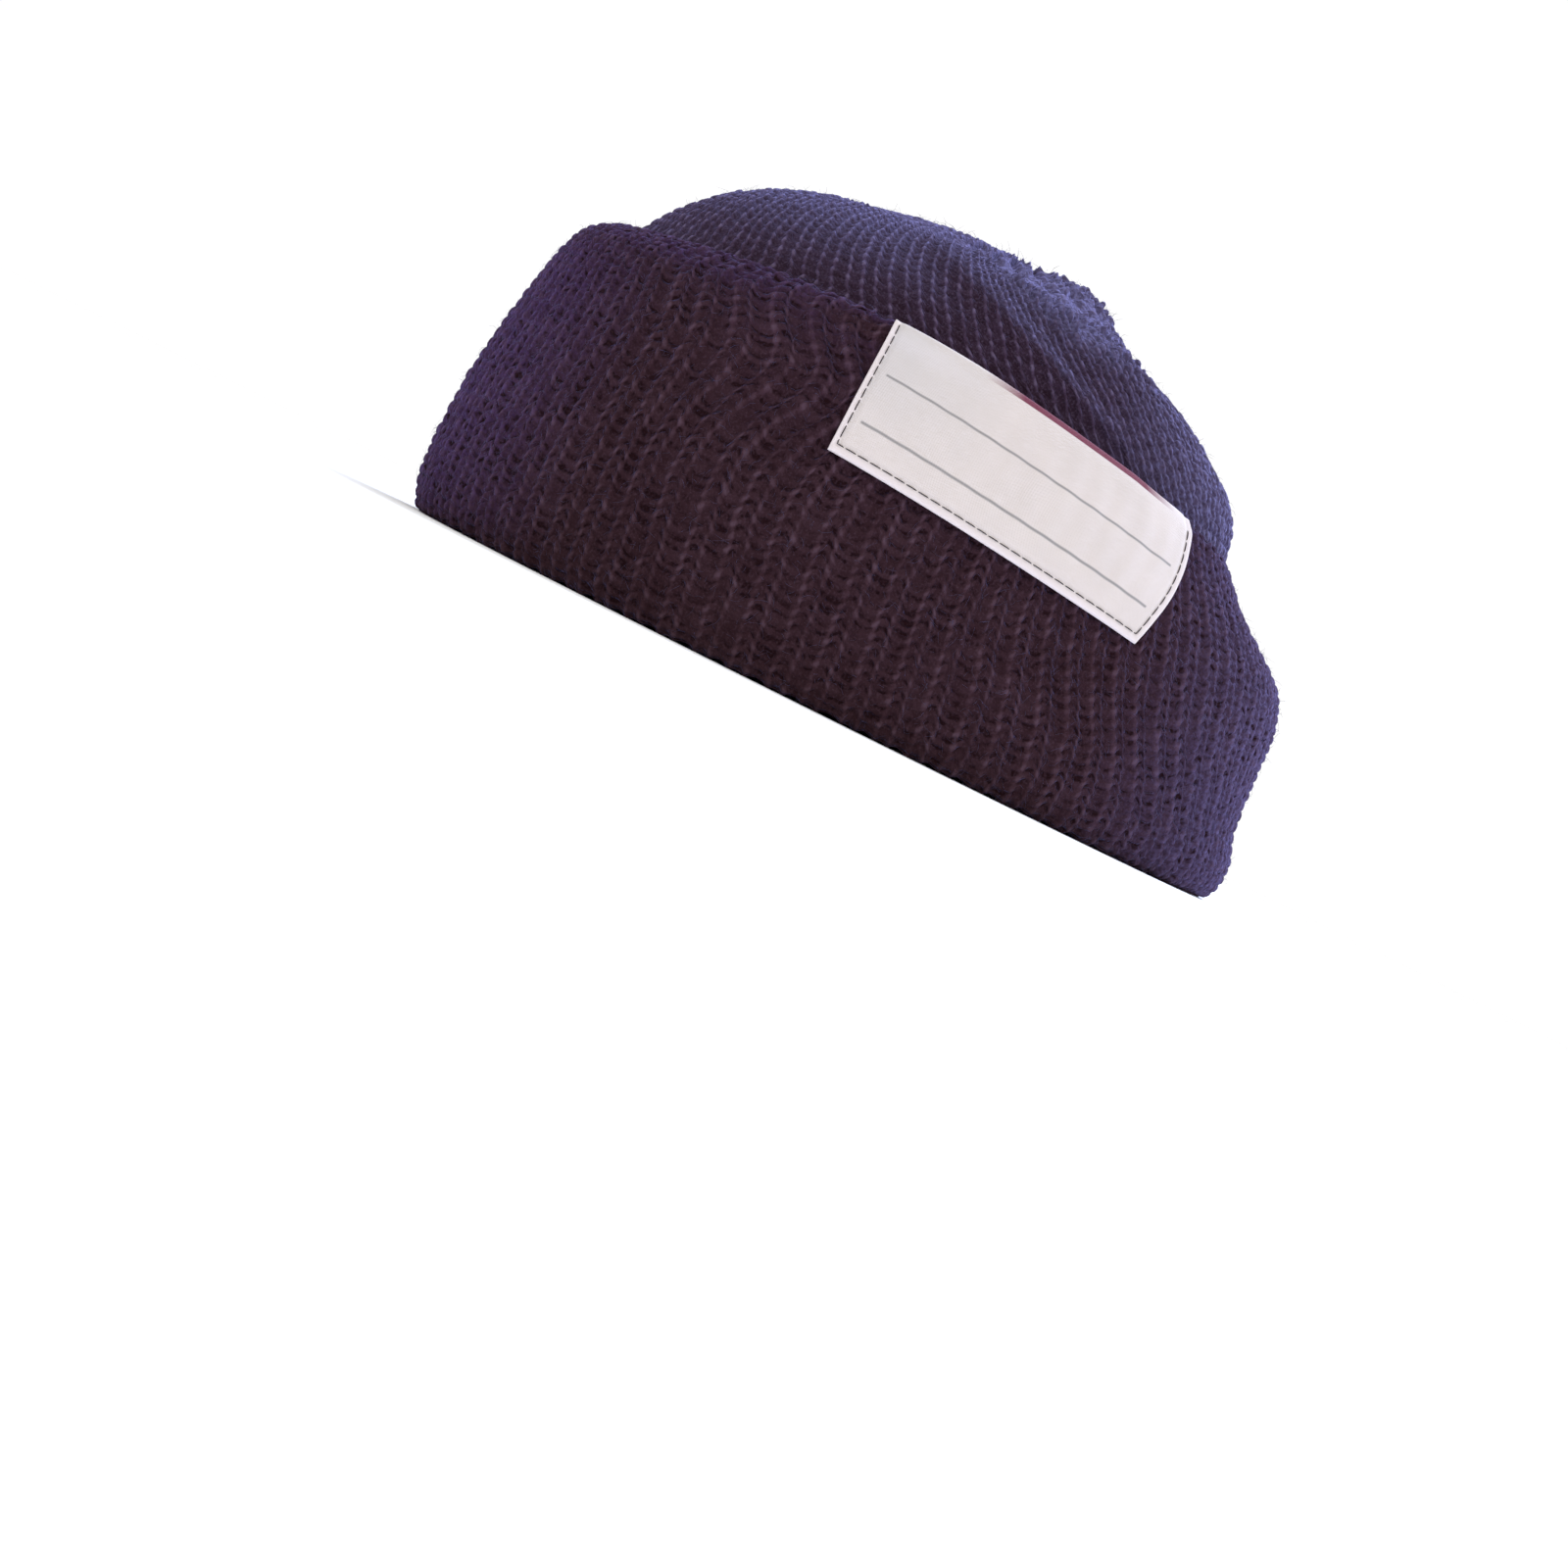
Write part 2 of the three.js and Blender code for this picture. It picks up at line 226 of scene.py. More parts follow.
def tip_faces(tip, ring, columns, tip_last):
    """Triangles from a ring of points to a single tip."""
    one = ring + np.arange(columns)
    after = ring + (np.arange(columns) + 1) % columns
    tips = np.full(columns, tip)
    return np.stack([one, after, tips] if tip_last else [tips, after, one], -1)


def knit_piece(name, points, lay, faces, merges, ribs, stitches):
    """A closed mesh in stitch space: its UV map counts ribs round the cap and stitches along it. A face across
    the last rib counts on past it, and a face in merged ribs counts the merged ones. The attribute lay keeps
    the normal of the smooth knit under the relief."""
    mesh = bpy.data.meshes.new(name)
    mesh.from_pydata(points.tolist(), [], [row for block in faces for row in block.tolist()])
    corners = np.concatenate([block.ravel() for block in faces])
    sizes = np.concatenate([np.full(len(block), block.shape[1]) for block in faces])
    scale = np.repeat(np.concatenate([np.full(len(b), m) for b, m in zip(faces, merges)]), sizes)
    starts = np.concatenate([[0], np.cumsum(sizes)[:-1]])
    highest = np.repeat(np.maximum.reduceat(ribs[corners], starts), sizes)
    around = ribs[corners] + np.where(highest - ribs[corners] > RIBS / 2, RIBS, 0)
    layer = mesh.uv_layers.new(name="stitch")
    flat = np.stack([(around - (scale - 1) / 2) / scale, stitches[corners]], -1)
    layer.data.foreach_set("uv", flat.ravel())
    mesh.attributes.new("lay", "FLOAT_VECTOR", "POINT").data.foreach_set("vector", lay.ravel())
    mesh.polygons.foreach_set("use_smooth", np.ones(len(mesh.polygons), dtype=bool))
    mesh.update()
    piece = bpy.data.objects.new(name, mesh)
    bpy.context.scene.collection.objects.link(piece)
    return piece


# Columns across one rib in stitch space, from the middle of one furrow by a leg, the groove and the other leg.
RIB_PLACES = np.arange(-4, 4) / 8
LEG_RISE = 0.9
COURSE_PITCH = 2.4
CROWN_CREST = 0.24


def slant(rib, merged):
    """How many courses a stitch is higher at this place across its rib than at the rib's middle."""
    local = (rib - (merged - 1) / 2) / merged
    return LEG_RISE * smooth_step(0.0, 0.42, np.abs(local - np.round(local)))


def rib_angle(rib, merged, crest):
    """The angle of a place across the ribs, in degrees. Stitch space puts the crests a quarter of a rib from
    its middle, and on the cap they lie at the share crest: the two sides of a crest stretch to fit."""
    local = (rib - (merged - 1) / 2) / merged
    middle = np.round(local)
    side = np.abs(local - middle)
    inside = side * crest / CREST_PLACE
    outside = crest + (side - CREST_PLACE) * (0.5 - crest) / CREST_PLACE
    real = np.where(side < CREST_PLACE, inside, outside)
    return 360 / RIBS * (merged * (middle + np.sign(local - middle) * real) + (merged - 1) / 2)


def rib_wander(rib, course):
    """How far a rib strays sideways, in degrees: its own steady share, and a slow and a quick wave up it."""
    number = np.round(rib).astype(int) % RIBS
    slow = 0.14 * np.sin(course / 3.1 + RIB_WAVE[number])
    return RIB_WANDER[number] + slow + 0.08 * np.sin(1.7 * course + 3 * RIB_WAVE[number])


def away_from(angle, centre):
    """The angle's distance from a centre in degrees, the short way round."""
    return (angle - centre + 180) % 360 - 180


# How much wider than even the crown's ribs lie round its left side, and the share of that which comes back
# on the right side, so that both sides are a little stretched and the front and rear are fuller.
STRETCH_ANGLE = 60
STRETCH_LEFT = 0.17
STRETCH_BOTH = 0.08


def crown_stretch(angle):
    """How far the stretch moves the crown's ribs round, in degrees: a sine of the angle from the left side and
    half a sine of twice that angle, which spread the ribs by the cosines of the same angles."""
    away = np.radians(angle - STRETCH_ANGLE)
    return np.degrees(STRETCH_LEFT * np.sin(away) + STRETCH_BOTH * np.sin(2 * away) / 2)


def crown_turn(level_up, angle):
    """How far the crown's ribs have turned round, in radians: the table's turn, about doubled on the left
    rear side where the gathers pull the ribs over."""
    turn = np.interp(level_up, np.arange(len(CROWN_TURN)), CROWN_TURN)
    return np.radians(turn * (1 + 0.5 * np.exp(-((away_from(angle, 95) / 24) ** 2))))


# A soft fold on the left side of the crown, where the gathers pull the knit over: the angle of its line at
# rising levels of the crown's sections, its height in millimetres and its reach in degrees.
CREASE_LEVELS = [0.3, 0.8, 1.4, 2.5, 3.4]
CREASE_ANGLES = [90, 80, 69, 51, 40]
CREASE_HEIGHT = 1.6
CREASE_REACH = 8
SAG_ANGLE = 140
SAG_REACH = 24
CROWN_SAG = 1.0


def crown_crease(level_up, angle):
    """Height of the soft fold: a bell across its line, fading out at both ends of the line. Behind the left ear
    the crown also sags a little over the cuff's edge."""
    line = np.interp(level_up, CREASE_LEVELS, CREASE_ANGLES)
    fade = smooth_step(0.2, 0.9, level_up) * (1 - smooth_step(2.8, 3.6, level_up))
    sag = smooth_step(-0.3, 0.4, level_up) * (1 - smooth_step(0.6, 1.8, level_up))
    sag = CROWN_SAG * sag * np.exp(-((away_from(angle, SAG_ANGLE) / SAG_REACH) ** 2))
    return sag + CREASE_HEIGHT * fade * np.exp(-((away_from(angle, line) / CREASE_REACH) ** 2))


# Behind the left ear the turned-up end of the tube is not held up and slumps, with the layer behind it: the middle
# and the reach of the slump in degrees from the brow, the heights between which it sets in, the heights between
# which it dies out again in the crown, and how far it sinks and leans in, in millimetres.
SLUMP_ANGLE = 142
SLUMP_REACH = 20
SLUMP_HEIGHTS = (46, 68)
SLUMP_END = (62, 70)
SLUMP = 3.0
SLUMP_LEAN = 1.3


def slumped(points, lean, share):
    """Points after a share of the slump: sunk by a bell round the cap times a rise with the height, and drawn in
    by the lean given, most just under the cuff's edge."""
    x, y, z = np.moveaxis(points, -1, 0)
    bell = share * np.exp(-((away_from(np.degrees(np.arctan2(x, -y)), SLUMP_ANGLE) / SLUMP_REACH) ** 2))
    low, high = SLUMP_HEIGHTS
    rise = smooth_step(low, high, z / MM)
    inward = lean * bell * smooth_step(low, (low + high) / 2, z / MM) * MM
    reach = np.hypot(x, y)
    return np.stack([x - inward * x / reach, y - inward * y / reach, z - SLUMP * bell * rise * MM], -1)


# Where the gathers are worn rough, and where a bluish sheen is painted all over them: the middle of the place in
# metres, the turn of its long axis, its shares of reach along, across and up, where it starts and ends to fade in
# metres, and how far single stitches are worked up or down there in millimetres. Beside it the gathers end in a
# low knob with a dip behind it, each given by its place and reach in metres and its height in millimetres.
FUZZ_PLACE = (0.036, -0.010, 0.102)
FUZZ_TURN = math.radians(60)
FUZZ_SHAPE = (1.0, 0.75, 0.6)
FUZZ_REACH = (0.012, 0.036)
FUZZ_HEIGHT = 4.2
KNOBS = [((0.0250, 0.0015, 0.1060), 0.0090, 2.6), ((0.0390, 0.0170, 0.1000), 0.0185, -2.4)]


def worked_stitches(points, rib, course):
    """How far each stitch of the worn gathers stands up or down: a dome of its uneven height, many times as much
    as elsewhere, fading out with the distance from the place's middle."""
    x, y, z = np.moveaxis(points - np.array(FUZZ_PLACE), -1, 0)
    along = x * math.cos(FUZZ_TURN) + y * math.sin(FUZZ_TURN)
    across = y * math.cos(FUZZ_TURN) - x * math.sin(FUZZ_TURN)
    away = np.linalg.norm(np.stack([along, across, z], -1) / FUZZ_SHAPE, axis=-1)
    leg = np.floor(2 * rib).astype(int) % len(UNEVEN_STITCHES)
    row = np.floor(course).astype(int) % UNEVEN_STITCHES.shape[1]
    dome = np.abs(np.sin(2 * math.pi * rib)) * np.sqrt(np.abs(np.sin(math.pi * course)))
    return FUZZ_HEIGHT * (UNEVEN_STITCHES[leg, row] + 0.19) * dome * (1 - smooth_step(*FUZZ_REACH, away))


def crown_knobs(points):
    """Height of the knob and of the dip: a bell round each place."""
    height = np.zeros(points.shape[:-1])
    for place, reach, middle in KNOBS:
        height += middle * np.exp(-((np.linalg.norm(points - np.array(place), axis=-1) / reach) ** 2))
    return height


behind_cuff = offset_sections(CUFF_SECTIONS, -(KNIT_WALL + LAYER_GAP))
hidden_layer = np.vstack([fold_section(KNIT_WALL + LAYER_GAP, FOLD_HEIGHT + LAYER_GAP), behind_cuff[HIDDEN_ROWS]])
crown_outer = np.vstack([hidden_layer, CROWN_SECTIONS])
crown_inner = offset_sections(crown_outer, -KNIT_WALL)
crown_inner[0] = fold_section(FOLD_WIDTH, FOLD_HEIGHT + LAYER_GAP)
outer_tip = np.array([0, CROWN_DIMPLE_HEIGHT, 0, CROWN_DIMPLE_HEIGHT, 0, CROWN_DIMPLE_HEIGHT, 0, 0])
inner_tip = outer_tip - KNIT_WALL * np.array([0, 1, 0, 1, 0, 1, 0, 0])
crown_table = np.vstack([inner_tip, crown_inner[::-1], crown_outer, outer_tip])
INNER_END = len(crown_inner)
OUTER_START = INNER_END + 1
CROWN_START = OUTER_START + len(hidden_layer)
CROWN_END = len(crown_table) - 1

# Bands of rings from the inner tip down the inside, up the hidden layer and up the ribbed outside. Each row
# gives the levels it runs between, the rows, the columns' places in a rib, the ribs that run as one, and
# the depths of groove, furrow, stitch and furrow stitch.
JOIN_DEPTH = -0.6
PLEAT_RISE = 0.6
CROWN_LEAN = 0.5
PLAIN = (0.0, 0.0, 0.0, 0.0)
INSIDE = (0.2, 0.8, 0.0, 0.0)
CROWN_KNIT = (0.8, 1.0, 0.45, 0.20)
CROWN_PLEATS = (0.35, 1.9, 0.4, 0.3)
CROWN_GATHERS = (0.3, 2.0, 0.3, 0.3)
CROWN_BANDS = [
    (0.35, 4.0, 14, RIB_PLACES[::4], 1, INSIDE),
    (4.2, INNER_END, 48, RIB_PLACES[::2], 1, INSIDE),
    (OUTER_START, CROWN_START - 2.0, 8, RIB_PLACES[::2], 1, PLAIN),
    (CROWN_START - 1.9, CROWN_START + 3.5, 19 * COURSE_ROWS + 1, RIB_PLACES, 1, CROWN_KNIT),
    (CROWN_START + 3.55, CROWN_START + 6.3, 12 * COURSE_ROWS + 1, RIB_PLACES, 2, CROWN_PLEATS),
    (CROWN_START + 6.35, CROWN_END - 0.2, 4 * COURSE_ROWS + 1, RIB_PLACES, 4, CROWN_GATHERS),
]


def crown_band(first, last, rows, places, merged, depths, stitch_start):
    """One band of the crown: the smooth section point at each rib and level, moved along the normal by the
    knit's relief. Rows lean up along the legs of the stitches, but for the band's first and last rows, where
    the relief passes into an even depth so that bands meet. Pleats start shallow and deepen inwards."""
    rib = np.broadcast_to(rib_columns(places, merged), (rows, len(places) * RIBS // merged))
    courses = np.arange(rows)[:, None] / COURSE_ROWS
    ends = np.minimum(courses, courses[-1] - courses)
    lean = CROWN_LEAN * slant(rib, merged) * np.clip(ends, 0, 1) * (depths[2] > 0)
    levels = even_levels(crown_table, first, last, rows)
    level = np.interp(courses + lean, courses[:, 0], levels)
    angle = rib_angle(rib, merged, CROWN_CREST) + rib_wander(rib, courses) * (depths[2] > 0) * (merged == 1)
    level_up = np.where(level < OUTER_START, INNER_END - len(hidden_layer) - level, level - CROWN_START)
    angle = angle + crown_stretch(angle)
    angle = np.radians(angle) - crown_turn(level_up, angle)
    smooth = section_points(blend_rows(crown_table, level), angle)
    smooth = slumped(smooth, SLUMP_LEAN, 1 - smooth_step(*SLUMP_END, smooth[..., 2] / MM))
    outward = np.where(level < OUTER_START, -1, 1)
    swell = crown_crease(level - CROWN_START, np.degrees(angle)) + outward * crown_knobs(smooth)
    smooth += band_normals(smooth) * swell[..., None] * MM
    local = (rib - (merged - 1) / 2) / merged
    relief = knit_relief(local, courses + 0 * rib, depths)
    if merged > 1:
        relief = JOIN_DEPTH + (relief - JOIN_DEPTH) * (0.25 + 0.75 * smooth_step(0, courses[-1] * PLEAT_RISE, courses))
    if depths[2] > 0:
        relief = relief + worked_stitches(smooth, local, courses + 0 * rib)
        relief = JOIN_DEPTH + (relief - JOIN_DEPTH) * smooth_step(0, 0.6, ends)
    lay = band_normals(smooth)
    return smooth + lay * (relief * MM)[..., None], lay, rib, courses + 0 * rib + stitch_start


crown_points, crown_lays, crown_faces, crown_merges, crown_ribs, crown_stitches = [], [], [], [], [], []
crown_outside = []
crown_count, last_ring, last_columns = 1, 0, 0
stitch_start = 0
crown_points.append(section_points(inner_tip, np.array(0.0))[None, :])
crown_lays.append(np.array([[0, 0, -1.0]]))
crown_ribs.append(np.zeros(1))
crown_stitches.append(np.zeros(1))
for first, last, rows, places, merged, depths in CROWN_BANDS:
    points, lay, rib, stitches = crown_band(first, last, rows, places, merged, depths, stitch_start)
    columns = points.shape[1]
    if last_columns == 0:
        crown_faces.append(tip_faces(0, crown_count, columns, False))
        crown_merges.append(merged)
    elif last_columns == columns:
        joined = np.stack([
            last_ring + np.arange(columns), last_ring + (np.arange(columns) + 1) % columns,
            crown_count + (np.arange(columns) + 1) % columns, crown_count + np.arange(columns),
        ], -1)
        crown_faces.append(joined)
        crown_merges.append(merged)
    else:
        crown_faces.append(join_faces(last_ring, last_columns, crown_count, columns))
        crown_merges.append(min(merged, crown_merges[-1]))
    crown_faces.append(band_faces(crown_count, rows, columns))
    crown_merges.append(merged)
    crown_points.append(points.reshape(-1, 3))
    crown_lays.append(lay.reshape(-1, 3))
    if depths[2] > 0:
        crown_outside.append(points)
    crown_ribs.append(rib.ravel())
    crown_stitches.append(stitches.ravel())
    last_ring = crown_count + (rows - 1) * columns
    crown_count += rows * columns
    last_columns = columns
    stitch_start += math.ceil(rows / COURSE_ROWS)
crown_points.append(section_points(outer_tip, np.array(0.0))[None, :])
crown_lays.append(np.array([[0, 0, 1.0]]))
crown_ribs.append(np.zeros(1))
crown_stitches.append(np.full(1, float(stitch_start)))
crown_faces.append(tip_faces(crown_count, last_ring, last_columns, True))
crown_merges.append(crown_merges[-1])
crown = knit_piece("crown_knit", np.concatenate(crown_points), np.concatenate(crown_lays), crown_faces,
                   crown_merges, np.concatenate(crown_ribs), np.concatenate(crown_stitches))


# The ways toward which a bluish sheen is painted on the wool where its smooth knit faces them: forward and a
# little to the right, backward, and up; and the share of that painted sheen laid all over the worn gathers.
SHEEN_WAYS = ((-0.34, -0.94, 0), (0, 1, 0), (0, 0, 1))
GATHERS_SHEEN = 0.92


def knit_wool(name, high_tones, recess_shade_tone, highlight_and_fleck_tone, depths, sheen_tones, sheen_reaches):
    """Navy wool yarn in stitch space. The same rounds as the mesh's relief, worked out from the UV map, paint
    shade into the grooves, the furrows and the cells between the furrow's bars by the depths given, over the shade
    that the relief casts itself, and raise a fine bump. The middle of each leg has a painted highlight as a paler
    bead, and plies and loose fibres lie on top, the fibres as flecks in the bead's tone. A bluish sheen is painted
    into the colour, given for the brow and for the nape, where the smooth knit faces forward, backward and up: for
    each, between two shares of that way and by a share. The same painted sheen lies all over the worn gathers, and the
    deep parts of the knit get less of it."""
    groove_dark, furrow_dark, cell_dark, gap_dark = depths
    material = bpy.data.materials.new(name)
    material.use_nodes = True
    nodes, links = material.node_tree.nodes, material.node_tree.links
    shader = nodes["Principled BSDF"]

    def work(operation, *values):
        node = nodes.new("ShaderNodeMath")
        node.operation = operation
        for socket, value in zip(node.inputs, values):
            if isinstance(value, (int, float)):
                socket.default_value = value
            else:
                links.new(value, socket)
        return node.outputs[0]

    def ramp(value, low, high):
        node = nodes.new("ShaderNodeMapRange")
        node.interpolation_type = "SMOOTHSTEP"
        node.inputs["From Min"].default_value = low
        node.inputs["From Max"].default_value = high
        links.new(value, node.inputs["Value"])
        return node.outputs["Result"]

    def noise(vector, scale, detail):
        node = nodes.new("ShaderNodeTexNoise")
        node.inputs["Scale"].default_value = scale
        node.inputs["Detail"].default_value = detail
        links.new(vector, node.inputs["Vector"])
        return node.outputs["Fac"]

    def mix(share, first, second):
        node = nodes.new("ShaderNodeMix")
        node.data_type = "RGBA"
        links.new(share, node.inputs["Factor"])
        for socket, colour in ((node.inputs["A"], first), (node.inputs["B"], second)):
            if isinstance(colour, tuple):
                socket.default_value = (*colour, 1)
            else:
                links.new(colour, socket)
        return node.outputs["Result"]

    stitch_map = nodes.new("ShaderNodeUVMap")
    stitch_map.uv_map = "stitch"
    parts = nodes.new("ShaderNodeSeparateXYZ")
    links.new(stitch_map.outputs["UV"], parts.inputs["Vector"])
    place = nodes.new("ShaderNodeTexCoord").outputs["Object"]
    stray = work("MULTIPLY", work("SUBTRACT", noise(place, 700, 2), 0.5), 0.16)
    slip = work("MULTIPLY", work("SUBTRACT", noise(place, 460, 2), 0.5), 0.4)
    side = work("PINGPONG", work("ADD", parts.outputs["X"], stray), 0.5)
    course = work("ADD", parts.outputs["Y"], slip)
    across = work("ABSOLUTE", work("SUBTRACT", work("MULTIPLY", work("FRACT", course), 2), 1))
    furrow = ramp(side, 0.255, 0.34)
    groove = work("SUBTRACT", 1, ramp(side, 0.15, 0.245))
    leg = work("MULTIPLY", work("SUBTRACT", 1, furrow), work("SUBTRACT", 1, groove))
    stitch_cell = nodes.new("ShaderNodeCombineXYZ")
    links.new(work("FLOOR", work("MULTIPLY", parts.outputs["X"], 2)), stitch_cell.inputs["X"])
    links.new(work("FLOOR", parts.outputs["Y"]), stitch_cell.inputs["Y"])
    chance = nodes.new("ShaderNodeTexWhiteNoise")
    links.new(stitch_cell.outputs["Vector"], chance.inputs["Vector"])
    furrow_place = nodes.new("ShaderNodeCombineXYZ")
    links.new(work("ADD", work("FLOOR", parts.outputs["X"]), 0.37), furrow_place.inputs["X"])
    links.new(work("FLOOR", course), furrow_place.inputs["Y"])
    cell_chance = nodes.new("ShaderNodeTexWhiteNoise")
    links.new(furrow_place.outputs["Vector"], cell_chance.inputs["Vector"])
    # Painted shade: masks of the cells, the holes and the gaps between stitches, summed below into the depth that
    # darkens the recesses toward the shade tone.
    cell = work("MULTIPLY", work("MULTIPLY", ramp(across, 0.2, 0.75), furrow), cell_chance.outputs["Value"])
    hole = work("MULTIPLY", work("MULTIPLY", ramp(across, 0.3, 0.8), groove), chance.outputs["Value"])
    gap = work("MULTIPLY", ramp(across, 0.3, 1.0), leg)
    blots = work("MULTIPLY_ADD", ramp(noise(place, 560, 1), 0.42, 0.60), 0.85, 0.15)
    cells = work("MULTIPLY", work("MULTIPLY", work("ADD", cell, hole), blots), cell_dark)
    depth = work("ADD", work("ADD", work("MULTIPLY", gap, gap_dark), cells),
                 work("ADD", work("MULTIPLY", furrow, furrow_dark), work("MULTIPLY", groove, groove_dark)))
    # Painted highlight: a paler bead along the middle of each leg; the fibre flecks below use the same pale tone.
    bead_highlight = work("MULTIPLY", work("SUBTRACT", 1, ramp(across, 0.1, 0.6)), leg)

    patches = noise(place, 38, 3)
    fibres = noise(place, 1900, 3)
    plies = work("SINE", work("MULTIPLY", work("ADD", work("MULTIPLY", parts.outputs["X"], 5.0),
                                               work("MULTIPLY", parts.outputs["Y"], 2.0)), 2 * math.pi))
    tone = work("ADD", work("MULTIPLY", patches, 0.5), work("MULTIPLY", chance.outputs["Value"], 0.5))
    crest = mix(ramp(tone, 0.25, 0.75), *high_tones)
    shade = mix(depth, crest, recess_shade_tone)
    highlighted = mix(work("MULTIPLY", bead_highlight, work("MULTIPLY", chance.outputs["Value"], 0.9)), shade, highlight_and_fleck_tone)
    speckle = mix(work("MULTIPLY", ramp(fibres, 0.45, 0.80), 0.35), highlighted, highlight_and_fleck_tone)
    lay = nodes.new("ShaderNodeAttribute")
    lay.attribute_name = "lay"
    axes = nodes.new("ShaderNodeSeparateXYZ")
    links.new(place, axes.inputs["Vector"])
    gathers = nodes.new("ShaderNodeMapping")
    gathers.vector_type = "TEXTURE"
    gathers.inputs["Location"].default_value = FUZZ_PLACE
    gathers.inputs["Rotation"].default_value = (0, 0, FUZZ_TURN)
    gathers.inputs["Scale"].default_value = FUZZ_SHAPE
    links.new(place, gathers.inputs["Vector"])
    from_gathers = nodes.new("ShaderNodeVectorMath")
    from_gathers.operation = "LENGTH"
    links.new(gathers.outputs["Vector"], from_gathers.inputs[0])
    # The same painted sheen lies all over the worn gathers, fading out with the distance from their middle.
    gathers_sheen = work("MULTIPLY", work("SUBTRACT", 1, ramp(from_gathers.outputs["Value"], *FUZZ_REACH)), GATHERS_SHEEN)
    to_nape = ramp(axes.outputs["Y"], -0.10, 0.06)

    # Painted sheen: a bluish tone mixed into the base colour where the smooth knit faces each given way, kept out of
    # the recesses.
    def painted_sheen_at(way, turns, share):
        facing = nodes.new("ShaderNodeVectorMath")
        facing.operation = "DOT_PRODUCT"
        facing.inputs[1].default_value = way
        links.new(lay.outputs["Vector"], facing.inputs[0])
        return work("MULTIPLY", ramp(facing.outputs["Value"], *turns), share)

    at_brow, at_nape, on_top = (painted_sheen_at(way, *reach) for way, reach in zip(SHEEN_WAYS, sheen_reaches))
    painted_sheen = work("MULTIPLY", work("MAXIMUM", work("MAXIMUM", at_brow, at_nape), on_top),
                work("MULTIPLY_ADD", depth, -0.85, 1.0))
    specks = work("MULTIPLY_ADD", ramp(noise(place, 1200, 1), 0.38, 0.68), 0.8, 0.6)
    # The share of painted sheen in the base colour, broken up by fine specks.
    down = work("MULTIPLY", work("MAXIMUM", painted_sheen, work("MULTIPLY", gathers_sheen, work("MULTIPLY_ADD", depth, -0.4, 1.0))), specks)
    painted_sheen_tone = mix(to_nape, *sheen_tones)
    links.new(mix(down, speckle, painted_sheen_tone), shader.inputs["Base Color"])

    bump_height = work("ADD", work("MULTIPLY", depth, -0.7),
                       work("ADD", work("MULTIPLY", plies, 0.08), work("MULTIPLY", fibres, 0.5)))
    bump = nodes.new("ShaderNodeBump")
    bump.inputs["Strength"].default_value = 0.8
    bump.inputs["Distance"].default_value = 0.0007
    links.new(bump_height, bump.inputs["Height"])
    links.new(bump.outputs["Normal"], shader.inputs["Normal"])
    shader.inputs["Roughness"].default_value = 0.95
    shader.inputs["Specular IOR Level"].default_value = 0.03
    shader.inputs["Sheen Weight"].default_value = 0.16
    shader.inputs["Sheen Roughness"].default_value = 0.35
    shader.inputs["Sheen Tint"].default_value = (0.45, 0.45, 1.0, 1)
    return material


# Arguments: crest tones, the painted shade tone of the recesses, the painted highlight tone of the beads, the painted
# shade's strengths in groove, furrow, cells and gaps, the painted sheen tones for brow and nape, and the painted
# sheen's reaches and shares.
crown.data.materials.append(knit_wool(
    "navy_wool_crown", ((0.056, 0.032, 0.058), (0.082, 0.050, 0.092)), (0.019, 0.0085, 0.0140),
    (0.135, 0.100, 0.160), (0.75, 0.80, 0.20, 0.40),
    ((0.155, 0.148, 0.305), (0.160, 0.148, 0.290)), (((0.50, 0.95), 0.30), ((-0.15, 0.48), 0.95), ((0.50, 0.95), 0.72)),
))
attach(crown, "root")
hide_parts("crown")

# The cuff is the open end of the same tube, turned up outside the crown as a deep band of the same knit. It
# takes in the fold at the rim, round which the ribs run under the cap, and ends at a soft free edge.
FOLD_FLAT_WIDTH = 3.4
FOLD_INNER_ROUND = 1.4
EDGE_ROLL = 0.9
flat_inset = CUFF_SECTIONS[1, 0] - CUFF_SECTIONS[0, 0] + FOLD_FLAT_WIDTH
cuff_inner = offset_sections(CUFF_SECTIONS, -KNIT_WALL)
rolled_edge = (CUFF_SECTIONS[-1] + cuff_inner[-1]) / 2
rolled_edge[[1, 3, 5]] += EDGE_ROLL
rolled_edge[[0, 2, 4]] -= EDGE_ROLL
cuff_table = np.vstack([
    fold_section(FOLD_WIDTH, FOLD_HEIGHT), fold_section(FOLD_WIDTH, FOLD_INNER_ROUND), fold_section(flat_inset, 0),
    CUFF_SECTIONS, rolled_edge, cuff_inner[HIDDEN_ROWS[::-1]], fold_section(KNIT_WALL, FOLD_HEIGHT),
])
CUFF_START = 3
CUFF_EDGE = CUFF_START + len(CUFF_SECTIONS) - 1
CUFF_KNIT = (0.65, 1.1, 0.4, 0.4)
CUFF_CREST = 0.20
CUFF_COURSES = 33
FOLD_ROWS = 7

# Where the sewn tape and the stretch of the knit pull the cuff's ribs aside: the place as an angle from the
# brow and a height up the cuff in millimetres, how far the pull reaches each way, and the pull in degrees.
RIB_PULLS = [
    (44, 12, 56, 10, 5.0),
    (42, 13, 32, 13, -1.5),
    (22, 22, 70, 14, -3.0),
    (70, 13, 25, 22, -1.5),
    (-40, 24, 70, 16, 2.0),
    (200, 30, 60, 18, -1.5),
]
LEAN_ANGLE = 107
LEAN_REACH = 25
LEAN = 4.4
CROWDED_ANGLE = 82
CROWDED_REACH = 18
CROWDED_SHARE = 0.2
TAPE_PUSH = 2.3
TAPE_PUSH_ANGLE = 54
TAPE_PUSH_REACH = 16


